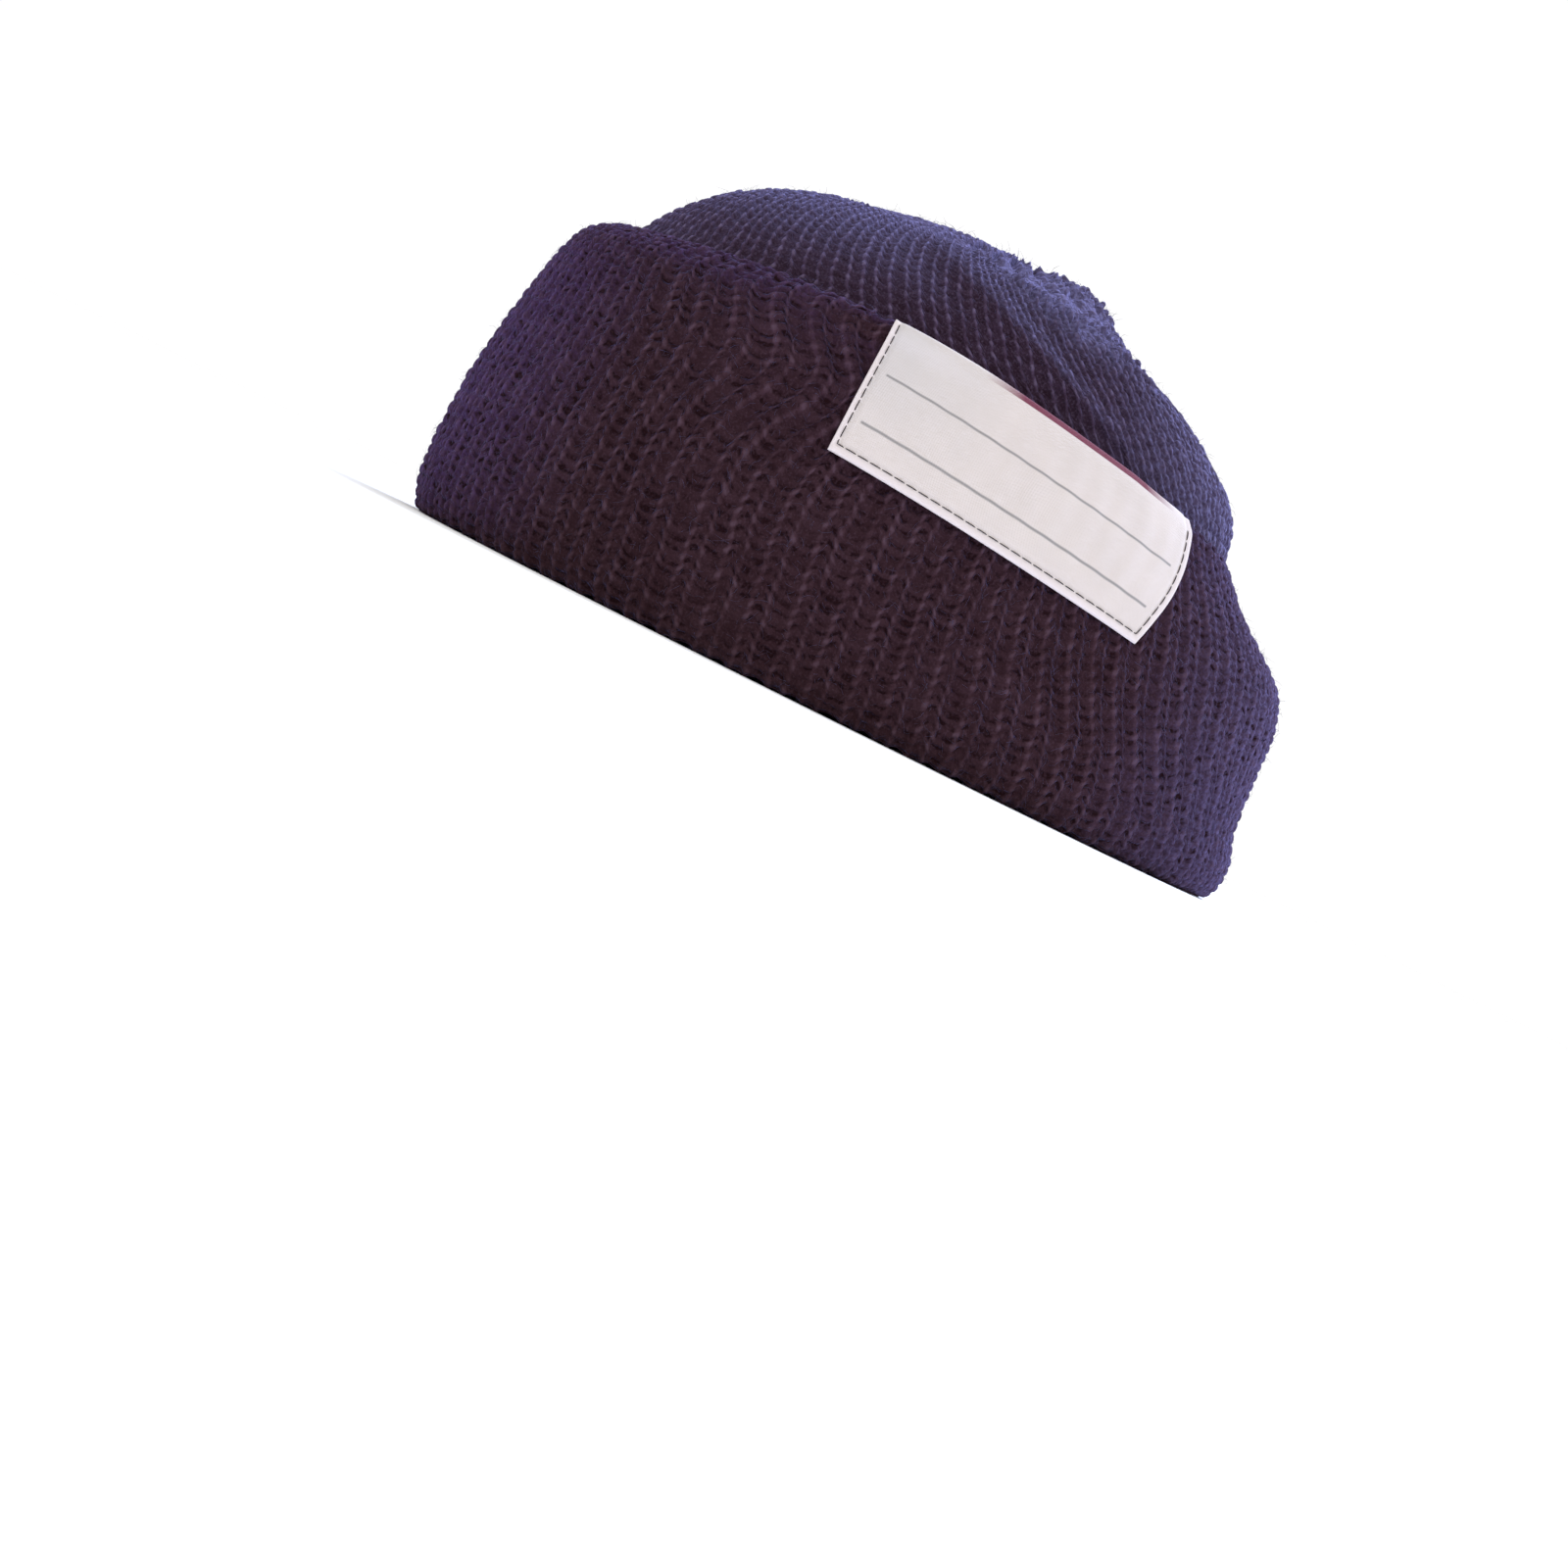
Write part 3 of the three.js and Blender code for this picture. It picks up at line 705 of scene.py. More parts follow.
def cuff_flow(angle, height):
    """How far the cuff's ribs are drawn round, in degrees: a bell for each pull, a lean towards the front
    behind each ear that turns over at mid height, and ribs crowded together under the sewn tape."""
    flow = np.zeros(np.broadcast(angle, height).shape)
    for centre, reach, up, rise, pull in RIB_PULLS:
        flow += pull * np.exp(-((away_from(angle, centre) / reach) ** 2) - ((height - up) / rise) ** 2)
    turn_over = np.tanh((height - 24) / 13)
    for sign in (1, -1):
        away = away_from(angle, sign * LEAN_ANGLE)
        flow -= sign * LEAN * np.exp(-((away / LEAN_REACH) ** 2)) * turn_over
    away = away_from(angle, CROWDED_ANGLE)
    return flow - CROWDED_SHARE * away * np.exp(-(away**2) / (2 * CROWDED_REACH**2))


def tape_push(level, angle):
    """How far the stiff sewn tape holds the cuff's edge out from its own curl: an outward push that rises from
    a level near the edge and fades as a bell round the tape's front corner."""
    rise = smooth_step(8.0, 9.7, level) * (1 - smooth_step(10.9, 11.6, level))
    push = TAPE_PUSH * rise * np.exp(-((away_from(np.degrees(angle), TAPE_PUSH_ANGLE) / TAPE_PUSH_REACH) ** 2))
    outward = np.stack([np.sin(angle), -np.cos(angle), np.zeros(np.shape(angle))], -1)
    return outward * push[..., None] * MM


def cuff_rings():
    """Rings of the cuff in order: under the fold, up the ribbed outside, over the free edge. Each point is
    the smooth section point at its rib and level, moved along the normal by the knit's relief."""
    under = np.linspace(0.6, CUFF_START - 0.05, FOLD_ROWS)
    outside = even_levels(cuff_table, CUFF_START, CUFF_EDGE + 0.9, CUFF_COURSES * COURSE_ROWS + 1)
    levels = np.concatenate([under, outside])
    courses = np.concatenate([np.arange(-FOLD_ROWS, 0) * 0.35, np.arange(len(outside)) / COURSE_ROWS])[:, None]
    rib = np.broadcast_to(rib_columns(RIB_PLACES, 1), (len(levels), len(RIB_PLACES) * RIBS))
    ends = np.minimum(courses + 1, courses[-1] - courses)
    lean = (slant(rib, 1) - LEG_RISE) * np.clip(ends / 2, 0, 1)
    level = np.interp(courses - lean, courses[:, 0], levels)
    height = np.clip(courses, 0, None) * COURSE_PITCH
    angle = rib_angle(rib, 1, CUFF_CREST) + rib_wander(rib, courses)
    angle = np.radians(angle + cuff_flow(angle, height))
    smooth = section_points(blend_rows(cuff_table, level), angle) + tape_push(level - CUFF_START, angle)
    smooth = slumped(smooth, SLUMP_LEAN, 1)
    firm = 1 - 0.6 * smooth_step(CUFF_COURSES - 2.2, CUFF_COURSES - 0.3, courses) - 0.35 * smooth_step(0.8, -0.8, courses)
    relief = knit_relief(rib, courses + 0 * rib, CUFF_KNIT) * firm * MM
    lay = band_normals(smooth)
    return smooth + lay * relief[..., None], lay, rib, courses + 0 * rib


outer_points, outer_lay, outer_ribs, outer_stitches = cuff_rings()
back_levels = np.concatenate([np.arange(CUFF_EDGE + 2, len(cuff_table)), [len(cuff_table) - 1 + 0.0]])[:-1]
back_rib = np.broadcast_to(rib_columns(RIB_PLACES[::2], 1), (len(back_levels) + 1, 4 * RIBS))
back_sections = np.vstack([cuff_table[back_levels.astype(int)], cuff_table[:1]])
back_angle = 2 * math.pi * back_rib / RIBS
back_points = slumped(section_points(back_sections[:, None, :], back_angle), 0, 1)
rows, columns = outer_points.shape[:2]
back_first = rows * columns
back_rows, back_columns = back_points.shape[:2]
cuff_faces = [
    band_faces(0, rows, columns),
    join_faces((rows - 1) * columns, columns, back_first, back_columns),
    band_faces(back_first, back_rows, back_columns),
    join_faces(back_first + (back_rows - 1) * back_columns, back_columns, 0, columns),
]
back_stitches = np.broadcast_to(CUFF_COURSES + 1 + np.arange(back_rows)[:, None] * 3.0, back_rib.shape)
cuff = knit_piece(
    "cuff_knit", np.concatenate([outer_points.reshape(-1, 3), back_points.reshape(-1, 3)]),
    np.concatenate([outer_lay.reshape(-1, 3), band_normals(back_points).reshape(-1, 3)]), cuff_faces, [1, 1, 1, 1],
    np.concatenate([outer_ribs.ravel(), back_rib.ravel()]),
    np.concatenate([outer_stitches.ravel(), back_stitches.ravel()]),
)
# Arguments: crest tones, the painted shade tone of the recesses, the painted highlight tone of the beads, the painted
# shade's strengths in groove, furrow, cells and gaps, the painted sheen tones for brow and nape, and the painted
# sheen's reaches and shares.
cuff.data.materials.append(knit_wool(
    "navy_wool_cuff", ((0.0385, 0.0173, 0.0225), (0.0577, 0.0278, 0.0364)), (0.0140, 0.0046, 0.0056),
    (0.083, 0.048, 0.065), (0.46, 0.48, 1.00, 0.25),
    ((0.100, 0.060, 0.230), (0.118, 0.096, 0.210)), (((0.58, 1.0), 0.28), ((-0.02, 0.70), 0.62), ((0.15, 0.75), 0.21)),
))
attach(cuff, "root")
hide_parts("cuff")

# The label is a woven cotton tape with its edges folded under, laid on the rib crests of the cuff's left
# side with its upper edge along the cuff's free edge, and sewn down along the other three edges.
LABEL_LENGTH = 81.0
LABEL_LOWER_LENGTH = 77.0
LABEL_HEIGHT = 32.5
LABEL_THICKNESS = 0.8
LABEL_CLEARANCE = 0.3
LABEL_START = 52
LABEL_LOWER = (5.45, 5.2)
LABEL_UPPER = 9.65
EDGE_ROUND = 0.45
TAPE_WAY = np.array([0.5, 0.866, 0.0])
CORNER_DROOP = 1.1
REAR_BULGE = 3.1
REAR_ROUND = 1.4


def label_frame(along, up):
    """Points and unit normals under the label at shares of its length and height. Each row follows the cuff at
    even steps of length, from a front edge that is straight as seen square on, and the sewn lower edge is
    drawn in a little. The rear edge bows out between its corners by half a sine. A row's level passes from the lower edge's, which differs at the two ends so that the
    tape keeps its height, to the upper edge's at even steps of the profile. The rear upper corner droops."""
    lower = LABEL_LOWER[0] + (LABEL_LOWER[1] - LABEL_LOWER[0]) * along
    mean_lower = sum(LABEL_LOWER) / 2
    even = np.interp(up, np.linspace(0, 1, 60), even_levels(CUFF_SECTIONS, mean_lower, LABEL_UPPER, 60))
    down = (LABEL_UPPER - even) / (LABEL_UPPER - mean_lower)
    level = LABEL_UPPER - down[:, None] * (LABEL_UPPER - lower)[None, :]
    fine = np.radians(np.linspace(LABEL_START - 4, LABEL_START + 80, 500))
    sections = blend_rows(CUFF_SECTIONS, even)[:, None, :]
    rows = section_points(sections, fine[None, :]) + tape_push(even[:, None], fine[None, :])
    step = np.linalg.norm(np.diff(rows, axis=1), axis=-1) / MM
    length = np.concatenate([np.zeros((len(up), 1)), np.cumsum(step, axis=1)], axis=1)
    sideways = rows @ TAPE_WAY
    low, high = (np.interp(math.radians(LABEL_START), fine, row) for row in sideways[[0, -1]])
    starts = [np.interp(low + (high - low) * u, way, row) for u, way, row in zip(up, sideways, length)]
    runs = LABEL_LOWER_LENGTH + (LABEL_LENGTH - LABEL_LOWER_LENGTH) * up + REAR_BULGE * np.sin(math.pi * up)
    runs = runs - REAR_ROUND * smooth_step(0.88, 1.0, up) ** 2
    angle = np.stack([np.interp(s + along * run, row, fine) for s, run, row in zip(starts, runs, length)])
    droop = np.exp(-(1 - along[None, :]) * LABEL_LENGTH / 2.2) * smooth_step(0.8, 1, up)[:, None]
    level = level - droop * CORNER_DROOP * (LABEL_UPPER - mean_lower) / LABEL_HEIGHT
    points = section_points(blend_rows(CUFF_SECTIONS, level), angle) + tape_push(level, angle)
    normals = np.cross(np.gradient(points, axis=1), np.gradient(points, axis=0))
    return points, normals / np.linalg.norm(normals, axis=-1, keepdims=True)


def edge_spaced(count, length):
    """Shares of a length at even steps, with four more rows close to each end for a rounded edge."""
    close = np.array([0, 0.06, 0.2, 0.45]) * EDGE_ROUND * 2.2 / length
    inner = np.linspace(close[-1] + 0.4 / length, 1 - close[-1] - 0.4 / length, count)
    return np.concatenate([close, inner, 1 - close[::-1]])


STITCH_INSET = 1.7
FRONT_INSET = 1.2
label_along = edge_spaced(150, LABEL_LENGTH)
label_up = edge_spaced(60, LABEL_HEIGHT)
label_base, label_normals = label_frame(label_along, label_up)
x, y = np.meshgrid(label_along * LABEL_LENGTH, label_up * LABEL_HEIGHT)
edge = np.minimum(np.minimum(x, LABEL_LENGTH - x), np.minimum(y, LABEL_HEIGHT - y))
body = np.sqrt(np.clip(1 - (1 - np.clip(edge / EDGE_ROUND, 0, 1)) ** 2, 0, 1))
sewn = np.minimum(np.minimum(x + STITCH_INSET - FRONT_INSET, LABEL_LENGTH - x), y)
seam_dip = 0.26 * np.exp(-(((sewn - STITCH_INSET) / 0.7) ** 2))
rib_show = 0.10 * np.sin(2 * math.pi * x / 6.6 + 0.04 * y) * smooth_step(2, 8, edge)
ripple = 0.14 * np.sin(x / 9.0 + y / 13.0 + 0.7) * np.sin(y / 8.0 + 0.4)
front_height = LABEL_CLEARANCE + LABEL_THICKNESS / 2 + body * (LABEL_THICKNESS / 2 + 0.15 + rib_show + ripple - seam_dip)
back_height = LABEL_CLEARANCE + LABEL_THICKNESS / 2 * (1 - body)
front = label_base + label_normals * (front_height * MM)[..., None]
back = label_base + label_normals * (back_height * MM)[..., None]
rows, columns = x.shape
number = np.arange(rows * columns).reshape(rows, columns)
inner_number = np.full((rows, columns), -1)
inner_number[1:-1, 1:-1] = rows * columns + np.arange((rows - 2) * (columns - 2)).reshape(rows - 2, columns - 2)
back_number = np.where(inner_number < 0, number, inner_number)


def sheet_quads(grid, flipped):
    """Quads of a grid of point numbers, turned round for a back face."""
    quads = np.stack([grid[:-1, :-1], grid[:-1, 1:], grid[1:, 1:], grid[1:, :-1]], -1).reshape(-1, 4)
    return quads[:, ::-1] if flipped else quads


label_mesh = bpy.data.meshes.new("label_tape")
label_points = np.concatenate([front.reshape(-1, 3), back[1:-1, 1:-1].reshape(-1, 3)])
label_quads = np.concatenate([sheet_quads(number, False), sheet_quads(back_number, True)])
label_mesh.from_pydata(label_points.tolist(), [], label_quads.tolist())
flat_places = np.concatenate([
    np.stack([x, y], -1).reshape(-1, 2), np.stack([x, y], -1)[1:-1, 1:-1].reshape(-1, 2),
])
label_uv = label_mesh.uv_layers.new(name="tape")
label_uv.data.foreach_set("uv", flat_places[label_quads.ravel()].ravel())
label_mesh.polygons.foreach_set("use_smooth", np.ones(len(label_mesh.polygons), dtype=bool))
label_mesh.update()
label = bpy.data.objects.new("label_tape", label_mesh)
bpy.context.scene.collection.objects.link(label)


def cotton_tape():
    """Off-white cotton in millimetres of tape: a fine plain weave as bump, a slight mottled soiling, a painted shade
    that greys the upper front corner, a paler hem with a painted shade along its sewing, two thin grey ruled lines,
    and a crimson selvedge thread along part of the upper edge."""
    material = bpy.data.materials.new("white_cotton_tape")
    material.use_nodes = True
    nodes, links = material.node_tree.nodes, material.node_tree.links
    shader = nodes["Principled BSDF"]

    def work(operation, *values):
        node = nodes.new("ShaderNodeMath")
        node.operation = operation
        for socket, value in zip(node.inputs, values):
            if isinstance(value, (int, float)):
                socket.default_value = value
            else:
                links.new(value, socket)
        return node.outputs[0]

    def within(value, low, high, soft):
        rise = nodes.new("ShaderNodeMapRange")
        fall = nodes.new("ShaderNodeMapRange")
        for node, start, end in ((rise, low - soft, low + soft), (fall, high + soft, high - soft)):
            node.inputs["From Min"].default_value = start
            node.inputs["From Max"].default_value = end
            links.new(value, node.inputs["Value"])
        return work("MULTIPLY", rise.outputs["Result"], fall.outputs["Result"])

    def mix(share, first, second):
        node = nodes.new("ShaderNodeMix")
        node.data_type = "RGBA"
        links.new(share, node.inputs["Factor"])
        for socket, colour in ((node.inputs["A"], first), (node.inputs["B"], second)):
            if isinstance(colour, tuple):
                socket.default_value = (*colour, 1)
            else:
                links.new(colour, socket)
        return node.outputs["Result"]

    tape_map = nodes.new("ShaderNodeUVMap")
    tape_map.uv_map = "tape"
    parts = nodes.new("ShaderNodeSeparateXYZ")
    links.new(tape_map.outputs["UV"], parts.inputs["Vector"])
    along, up = parts.outputs["X"], parts.outputs["Y"]
    soil = nodes.new("ShaderNodeTexNoise")
    soil.inputs["Scale"].default_value = 0.12
    soil.inputs["Detail"].default_value = 4
    links.new(tape_map.outputs["UV"], soil.inputs["Vector"])
    weave = work("MULTIPLY", work("SINE", work("MULTIPLY", along, 2 * math.pi / 0.42)),
                 work("SINE", work("MULTIPLY", up, 2 * math.pi / 0.42)))
    clean = mix(soil.outputs["Fac"], (0.62, 0.55, 0.505), (0.70, 0.62, 0.57))
    # Painted shade: the upper front corner of the tape greyed.
    corner_shade = work("MULTIPLY", within(along, -20, 14, 16), within(up, 12, 60, 9))
    cloth = mix(work("MULTIPLY", corner_shade, 0.5), clean, (0.52, 0.505, 0.50))
    sewn_side = work("MINIMUM", work("MINIMUM", along, work("SUBTRACT", LABEL_LENGTH, along)), up)
    hemmed = mix(within(sewn_side, -1.0, 1.3, 0.25), cloth, (0.73, 0.645, 0.62))
    # Painted shade along the sewing, just inside the hem.
    seamed = mix(work("MULTIPLY", within(sewn_side, 1.75, 2.3, 0.4), 0.22), hemmed, (0.40, 0.35, 0.33))
    upper_rule = within(up, 18.7, 19.25, 0.15)
    lower_rule = within(up, 7.15, 7.70, 0.15)
    ruled = work("MULTIPLY", work("MAXIMUM", upper_rule, lower_rule), within(along, 3.4, 76.6, 0.2))
    lined = mix(work("MULTIPLY", ruled, 0.9), seamed, (0.25, 0.235, 0.225))
    selvedge = work("MULTIPLY", within(up, 30.8, 33.5, 0.1), within(along, 26, 70, 5))
    links.new(mix(work("MULTIPLY", selvedge, 0.97), lined, (0.140, 0.003, 0.026)), shader.inputs["Base Color"])
    bump = nodes.new("ShaderNodeBump")
    bump.inputs["Strength"].default_value = 0.35
    bump.inputs["Distance"].default_value = 0.0002
    links.new(weave, bump.inputs["Height"])
    links.new(bump.outputs["Normal"], shader.inputs["Normal"])
    shader.inputs["Roughness"].default_value = 0.85
    shader.inputs["Specular IOR Level"].default_value = 0.25
    shader.inputs["Sheen Weight"].default_value = 0.1
    return material


label.data.materials.append(cotton_tape())
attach(label, "root")
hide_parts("label")

# The label's sewing is one row of dark cotton thread in long machine stitches, just inside the front, lower and
# rear edges. Each stitch lies on the tape and dips through it at both ends.
THREAD_RADIUS = 0.12
THREAD_STEP = 2.9
THREAD_SHOWN = 2.8
THREAD_SIDES = 6
THREAD_RINGS = 6


def on_label(along, up):
    """Points and unit normals of the label's face at places in millimetres, by blending its four neighbours."""
    column = np.interp(along / LABEL_LENGTH, label_along, np.arange(len(label_along)))
    row = np.interp(up / LABEL_HEIGHT, label_up, np.arange(len(label_up)))
    left = np.clip(np.floor(column).astype(int), 0, len(label_along) - 2)
    lower = np.clip(np.floor(row).astype(int), 0, len(label_up) - 2)
    right_share, upper_share = (column - left)[..., None], (row - lower)[..., None]
    below = front[lower, left] * (1 - right_share) + front[lower, left + 1] * right_share
    above = front[lower + 1, left] * (1 - right_share) + front[lower + 1, left + 1] * right_share
    return below * (1 - upper_share) + above * upper_share, label_normals[lower, left]


corner_far = LABEL_LENGTH - STITCH_INSET
seam_top = LABEL_HEIGHT - 0.7
seam_path = np.array([
    [FRONT_INSET, seam_top], [FRONT_INSET, STITCH_INSET], [corner_far, STITCH_INSET], [corner_far, seam_top],
])
seam_length = np.concatenate([[0], np.cumsum(np.linalg.norm(np.diff(seam_path, axis=0), axis=1))])
stitch_count = int(seam_length[-1] / THREAD_STEP)
thread_share = np.linspace(0, 1, THREAD_RINGS)
thread_along = (np.arange(stitch_count)[:, None] + 0.5) * THREAD_STEP + (thread_share[None, :] - 0.5) * THREAD_SHOWN
seam_x = np.interp(thread_along, seam_length, seam_path[:, 0])
seam_y = np.interp(thread_along, seam_length, seam_path[:, 1])
thread_middle, thread_normal = on_label(seam_x, seam_y)
thread_height = THREAD_RADIUS * (1.1 - 2.2 * np.abs(2 * thread_share - 1) ** 4)
thread_middle = thread_middle + thread_normal * (thread_height * MM)[None, :, None]


def thread_tubes(middles, normals, radii, sides):
    """Closed tubes, one for each row of middle points: a ring of points round each middle with the radius given
    along the row, on the normal and on the normal crossed with the tube's way, and a cap of one face at both
    ends. Gives the points and the faces of all tubes together."""
    way = np.gradient(middles, axis=1)
    way /= np.linalg.norm(way, axis=-1, keepdims=True)
    across = np.cross(normals, way)
    across /= np.linalg.norm(across, axis=-1, keepdims=True)
    upright = np.cross(way, across)
    turn = 2 * math.pi * np.arange(sides) / sides
    ring = across[:, :, None, :] * np.cos(turn)[:, None] + upright[:, :, None, :] * np.sin(turn)[:, None]
    points = middles[:, :, None, :] + ring * radii[..., None, None] * MM
    tubes, rings = middles.shape[:2]
    first = np.arange(tubes)[:, None, None] * rings * sides + np.arange(rings - 1)[None, :, None] * sides
    one, after = np.arange(sides), (np.arange(sides) + 1) % sides
    walls = np.stack([first + one, first + after, first + after + sides, first + one + sides], -1).reshape(-1, 4)
    starts = np.arange(tubes)[:, None] * rings * sides
    near_cap = (starts + np.arange(sides)[::-1][None, :])
    far_cap = starts + (rings - 1) * sides + np.arange(sides)[None, :]
    return points.reshape(-1, 3), walls, np.concatenate([near_cap, far_cap])


thread_radii = np.broadcast_to(THREAD_RADIUS * np.array([0.7, 1, 1, 1, 1, 0.7]), thread_middle.shape[:2])
thread_points, thread_walls, thread_caps = thread_tubes(thread_middle, thread_normal, thread_radii, THREAD_SIDES)
thread_mesh = bpy.data.meshes.new("label_stitches")
thread_mesh.from_pydata(thread_points.tolist(), [], thread_walls.tolist() + thread_caps.tolist())
thread_mesh.polygons.foreach_set("use_smooth", np.ones(len(thread_mesh.polygons), dtype=bool))
thread_mesh.update()
label_stitches = bpy.data.objects.new("label_stitches", thread_mesh)
bpy.context.scene.collection.objects.link(label_stitches)


def sewing_thread():
    """Charcoal cotton thread: twisted plies as fine slanted bands of tint and bump."""
    material = bpy.data.materials.new("charcoal_sewing_thread")
    material.use_nodes = True
    nodes, links = material.node_tree.nodes, material.node_tree.links
    shader = nodes["Principled BSDF"]
    twist = nodes.new("ShaderNodeTexWave")
    twist.bands_direction = "DIAGONAL"
    twist.inputs["Scale"].default_value = 900
    twist.inputs["Distortion"].default_value = 1.5
    links.new(nodes.new("ShaderNodeTexCoord").outputs["Object"], twist.inputs["Vector"])
    tint = nodes.new("ShaderNodeMix")
    tint.data_type = "RGBA"
    tint.inputs["A"].default_value = (0.024, 0.019, 0.020, 1)
    tint.inputs["B"].default_value = (0.075, 0.060, 0.060, 1)
    links.new(twist.outputs["Fac"], tint.inputs["Factor"])
    links.new(tint.outputs["Result"], shader.inputs["Base Color"])
    bump = nodes.new("ShaderNodeBump")
    bump.inputs["Strength"].default_value = 0.5
    bump.inputs["Distance"].default_value = 0.0001
    links.new(twist.outputs["Fac"], bump.inputs["Height"])
    links.new(bump.outputs["Normal"], shader.inputs["Normal"])
    shader.inputs["Roughness"].default_value = 0.8
    shader.inputs["Specular IOR Level"].default_value = 0.2
    return material


label_stitches.data.materials.append(sewing_thread())
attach(label_stitches, "root")

# Loose fibres are single wool hairs that stand off the yarn all over the outside, worked free as the cap is
# worn. Each is rooted in a stitch, bends over and ends in the air, and together they blur the outline.
FIBRES = 13500
FIBRE_RADIUS = 0.03
FIBRE_SIDES = 3
FIBRE_STOPS = np.array([0.0, 0.5, 1.0])
HIDDEN_COURSES = 6
LABEL_MARGIN = 4.0
fibre_draws = np.random.default_rng(21)


def fibre_roots(grids):
    """Places on grids of the outside, picked at random with chances by area, and each place's unit normal and
    unit way round the cap."""
    points = np.concatenate([grid.reshape(-1, 3) for grid in grids])
    normals = np.concatenate([band_normals(grid).reshape(-1, 3) for grid in grids])
    rounds = [np.roll(grid, -1, axis=1) - np.roll(grid, 1, axis=1) for grid in grids]
    areas = [np.linalg.norm(np.cross(way, np.gradient(grid, axis=0)), axis=-1) for way, grid in zip(rounds, grids)]
    chance = np.concatenate([area.ravel() for area in areas])
    way = np.concatenate([step.reshape(-1, 3) for step in rounds])
    picked = fibre_draws.choice(len(points), FIBRES, p=chance / chance.sum())
    way = way[picked]
    return points[picked], normals[picked], way / np.linalg.norm(way, axis=-1, keepdims=True)


shown_crown = [crown_outside[0][HIDDEN_COURSES * COURSE_ROWS:], *crown_outside[1:]]
roots, root_normals, root_ways = fibre_roots([outer_points[FOLD_ROWS:], *shown_crown])
under_tape = np.linalg.norm(roots[:, None, :] - label_base[::6, ::8].reshape(1, -1, 3), axis=-1).min(axis=1)
free = under_tape > LABEL_MARGIN * MM
roots, root_normals, root_ways = roots[free], root_normals[free], root_ways[free]
heading = fibre_draws.uniform(0, 2 * math.pi, (len(roots), 1))
flat_way = root_ways * np.cos(heading) + np.cross(root_normals, root_ways) * np.sin(heading)
side_way = np.cross(root_normals, flat_way)
fibre_length = fibre_draws.uniform(0.9, 2.8, (len(roots), 1, 1)) * MM
fibre_rise = fibre_draws.uniform(0.15, 0.75, (len(roots), 1, 1)) * MM
fibre_bend = fibre_draws.normal(0, 0.5, (len(roots), 1, 1)) * fibre_length
stops = FIBRE_STOPS[None, :, None]
fibre_middle = (
    roots[:, None, :] + flat_way[:, None, :] * fibre_length * stops + side_way[:, None, :] * fibre_bend * stops**2
    + root_normals[:, None, :] * (fibre_rise * np.sin(2.2 * stops) - 0.1 * MM)
)
fibre_middle[..., 2] = np.maximum(fibre_middle[..., 2], 2 * FIBRE_RADIUS * MM)
fibre_radii = np.broadcast_to(FIBRE_RADIUS * np.array([1, 0.9, 0.35]), fibre_middle.shape[:2])
fibre_normals = np.broadcast_to(root_normals[:, None, :], fibre_middle.shape)
fibre_points, fibre_walls, fibre_caps = thread_tubes(fibre_middle, fibre_normals, fibre_radii, FIBRE_SIDES)
fibre_mesh = bpy.data.meshes.new("loose_fibres")
fibre_mesh.from_pydata(fibre_points.tolist(), [], fibre_walls.tolist() + fibre_caps.tolist())
fibre_mesh.polygons.foreach_set("use_smooth", np.ones(len(fibre_mesh.polygons), dtype=bool))
fibre_mesh.update()
loose_fibres = bpy.data.objects.new("loose_fibres", fibre_mesh)
bpy.context.scene.collection.objects.link(loose_fibres)


def wool_hair():
    """Single wool hairs: navy with some bleached by wear, in small drifting patches, and a soft sheen."""
    material = bpy.data.materials.new("navy_wool_hair")
    material.use_nodes = True
    nodes, links = material.node_tree.nodes, material.node_tree.links
    shader = nodes["Principled BSDF"]
    drift = nodes.new("ShaderNodeTexNoise")
    drift.inputs["Scale"].default_value = 600
    drift.inputs["Detail"].default_value = 2
    links.new(nodes.new("ShaderNodeTexCoord").outputs["Object"], drift.inputs["Vector"])
    tint = nodes.new("ShaderNodeMix")
    tint.data_type = "RGBA"
    tint.inputs["A"].default_value = (0.034, 0.025, 0.040, 1)
    tint.inputs["B"].default_value = (0.075, 0.064, 0.105, 1)
    links.new(drift.outputs["Fac"], tint.inputs["Factor"])
    links.new(tint.outputs["Result"], shader.inputs["Base Color"])
    shader.inputs["Roughness"].default_value = 0.9
    shader.inputs["Specular IOR Level"].default_value = 0.1
    shader.inputs["Sheen Weight"].default_value = 0.3
    shader.inputs["Sheen Tint"].default_value = (0.4, 0.42, 1.0, 1)
    return material


loose_fibres.data.materials.append(wool_hair())
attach(loose_fibres, "root")

# The floor is a plain pale disc, far wider than the cap, under an even white sky and two soft studio lamps.
FLOOR_RADIUS = 6.0
floor_turn = np.linspace(0, 2 * math.pi, 96, endpoint=False)
floor_rim = np.stack([np.cos(floor_turn), np.sin(floor_turn), 0 * floor_turn], -1) * FLOOR_RADIUS
floor_mesh = bpy.data.meshes.new("floor")
floor_mesh.from_pydata(
    floor_rim.tolist() + [[0, 0, 0]], [], tip_faces(len(floor_turn), 0, len(floor_turn), True).tolist(),
)
floor = bpy.data.objects.new("floor", floor_mesh)
bpy.context.scene.collection.objects.link(floor)
pale = bpy.data.materials.new("pale_floor")
pale.use_nodes = True
pale.node_tree.nodes["Principled BSDF"].inputs["Base Color"].default_value = (0.985, 0.985, 0.985, 1)
pale.node_tree.nodes["Principled BSDF"].inputs["Roughness"].default_value = 0.9
floor.data.materials.append(pale)

world = bpy.data.worlds.new("studio")
world.use_nodes = True
world.node_tree.nodes["Background"].inputs["Color"].default_value = (1.0, 1.0, 1.0, 1)
world.node_tree.nodes["Background"].inputs["Strength"].default_value = 1.02
bpy.context.scene.world = world

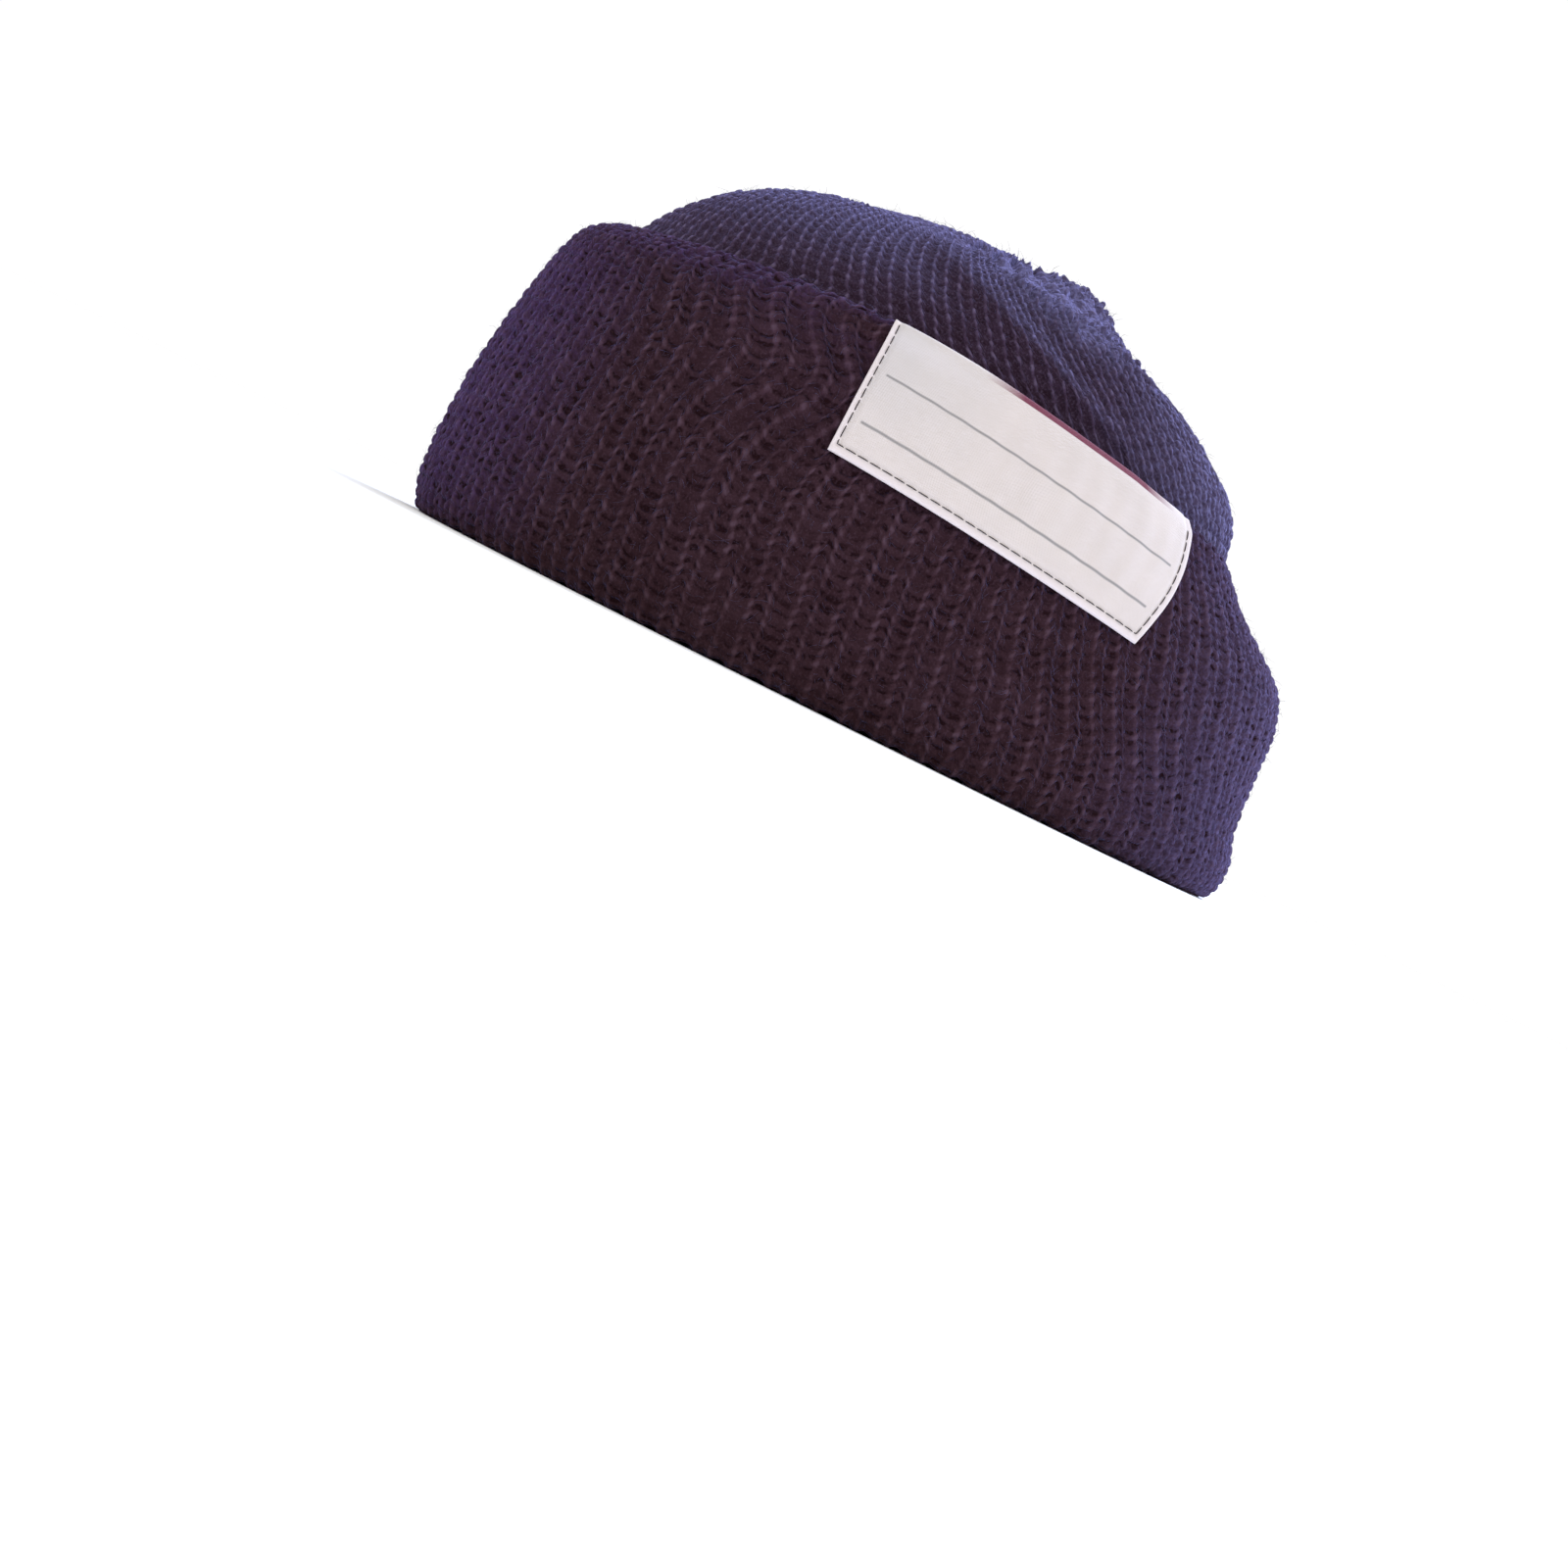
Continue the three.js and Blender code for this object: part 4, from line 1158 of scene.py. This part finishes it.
LAMPS = [
    ("key_lamp", (1.5, -0.8, 1.1), 1.0, 0.2, (1.0, 0.90, 0.80)),
    ("sky_lamp", (-0.7, 1.2, 1.5), 1.4, 16, (0.55, 0.66, 1.0)),
]
LAMP_SPREAD = math.radians(60)
for name, place, size, power, colour in LAMPS:
    lamp = bpy.data.objects.new(name, bpy.data.lights.new(name, "AREA"))
    lamp.data.size = size
    lamp.data.spread = LAMP_SPREAD
    lamp.data.energy = power
    lamp.data.color = colour
    lamp.location = place
    aim = -np.array(place) + np.array([0, 0, 0.05])
    lamp.rotation_euler = (math.atan2(math.hypot(aim[0], aim[1]), -aim[2]), 0, math.atan2(aim[1], aim[0]) - math.pi / 2)
    bpy.context.scene.collection.objects.link(lamp)

# The camera stands at the left front of the cap, just over the floor, and is rolled as the worn cap tilts.
CAMERA_AZIMUTH = math.radians(60)
CAMERA_DISTANCE = 0.700
CAMERA_HEIGHT = 0.008
CAMERA_ROLL = math.radians(26.5)
FOCAL_PIXELS = 3143
FRAME_PIXELS = 1600
RIM_RIGHT = -10
RIM_UP = 85
camera = bpy.data.objects.new("camera", bpy.data.cameras.new("camera"))
camera.data.sensor_width = 36
camera.data.lens = 36 * FOCAL_PIXELS / FRAME_PIXELS
camera.data.clip_start = 0.001
toward = np.array([math.sin(CAMERA_AZIMUTH), -math.cos(CAMERA_AZIMUTH), 0])
rightward = np.array([math.cos(CAMERA_AZIMUTH), math.sin(CAMERA_AZIMUTH), 0])
upward = np.array([0, 0, 1.0])
pitch = math.atan2(-CAMERA_HEIGHT, CAMERA_DISTANCE) - math.atan2(RIM_UP, FOCAL_PIXELS)
yaw = math.atan2(RIM_RIGHT, FOCAL_PIXELS)
view = -toward * math.cos(pitch) + upward * math.sin(pitch)
view = view * math.cos(yaw) - rightward * math.sin(yaw)
view /= np.linalg.norm(view)
right = np.cross(view, upward)
right /= np.linalg.norm(right)
above = np.cross(right, view)
turned_right = right * math.cos(CAMERA_ROLL) + above * math.sin(CAMERA_ROLL)
turned_up = above * math.cos(CAMERA_ROLL) - right * math.sin(CAMERA_ROLL)
place = toward * CAMERA_DISTANCE + upward * CAMERA_HEIGHT
matrix = np.eye(4)
matrix[:3, 0], matrix[:3, 1], matrix[:3, 2], matrix[:3, 3] = turned_right, turned_up, -view, place
camera.matrix_world = matrix.T.tolist()
bpy.context.scene.collection.objects.link(camera)
bpy.context.scene.camera = camera
bpy.context.scene.view_settings.view_transform = "Standard"
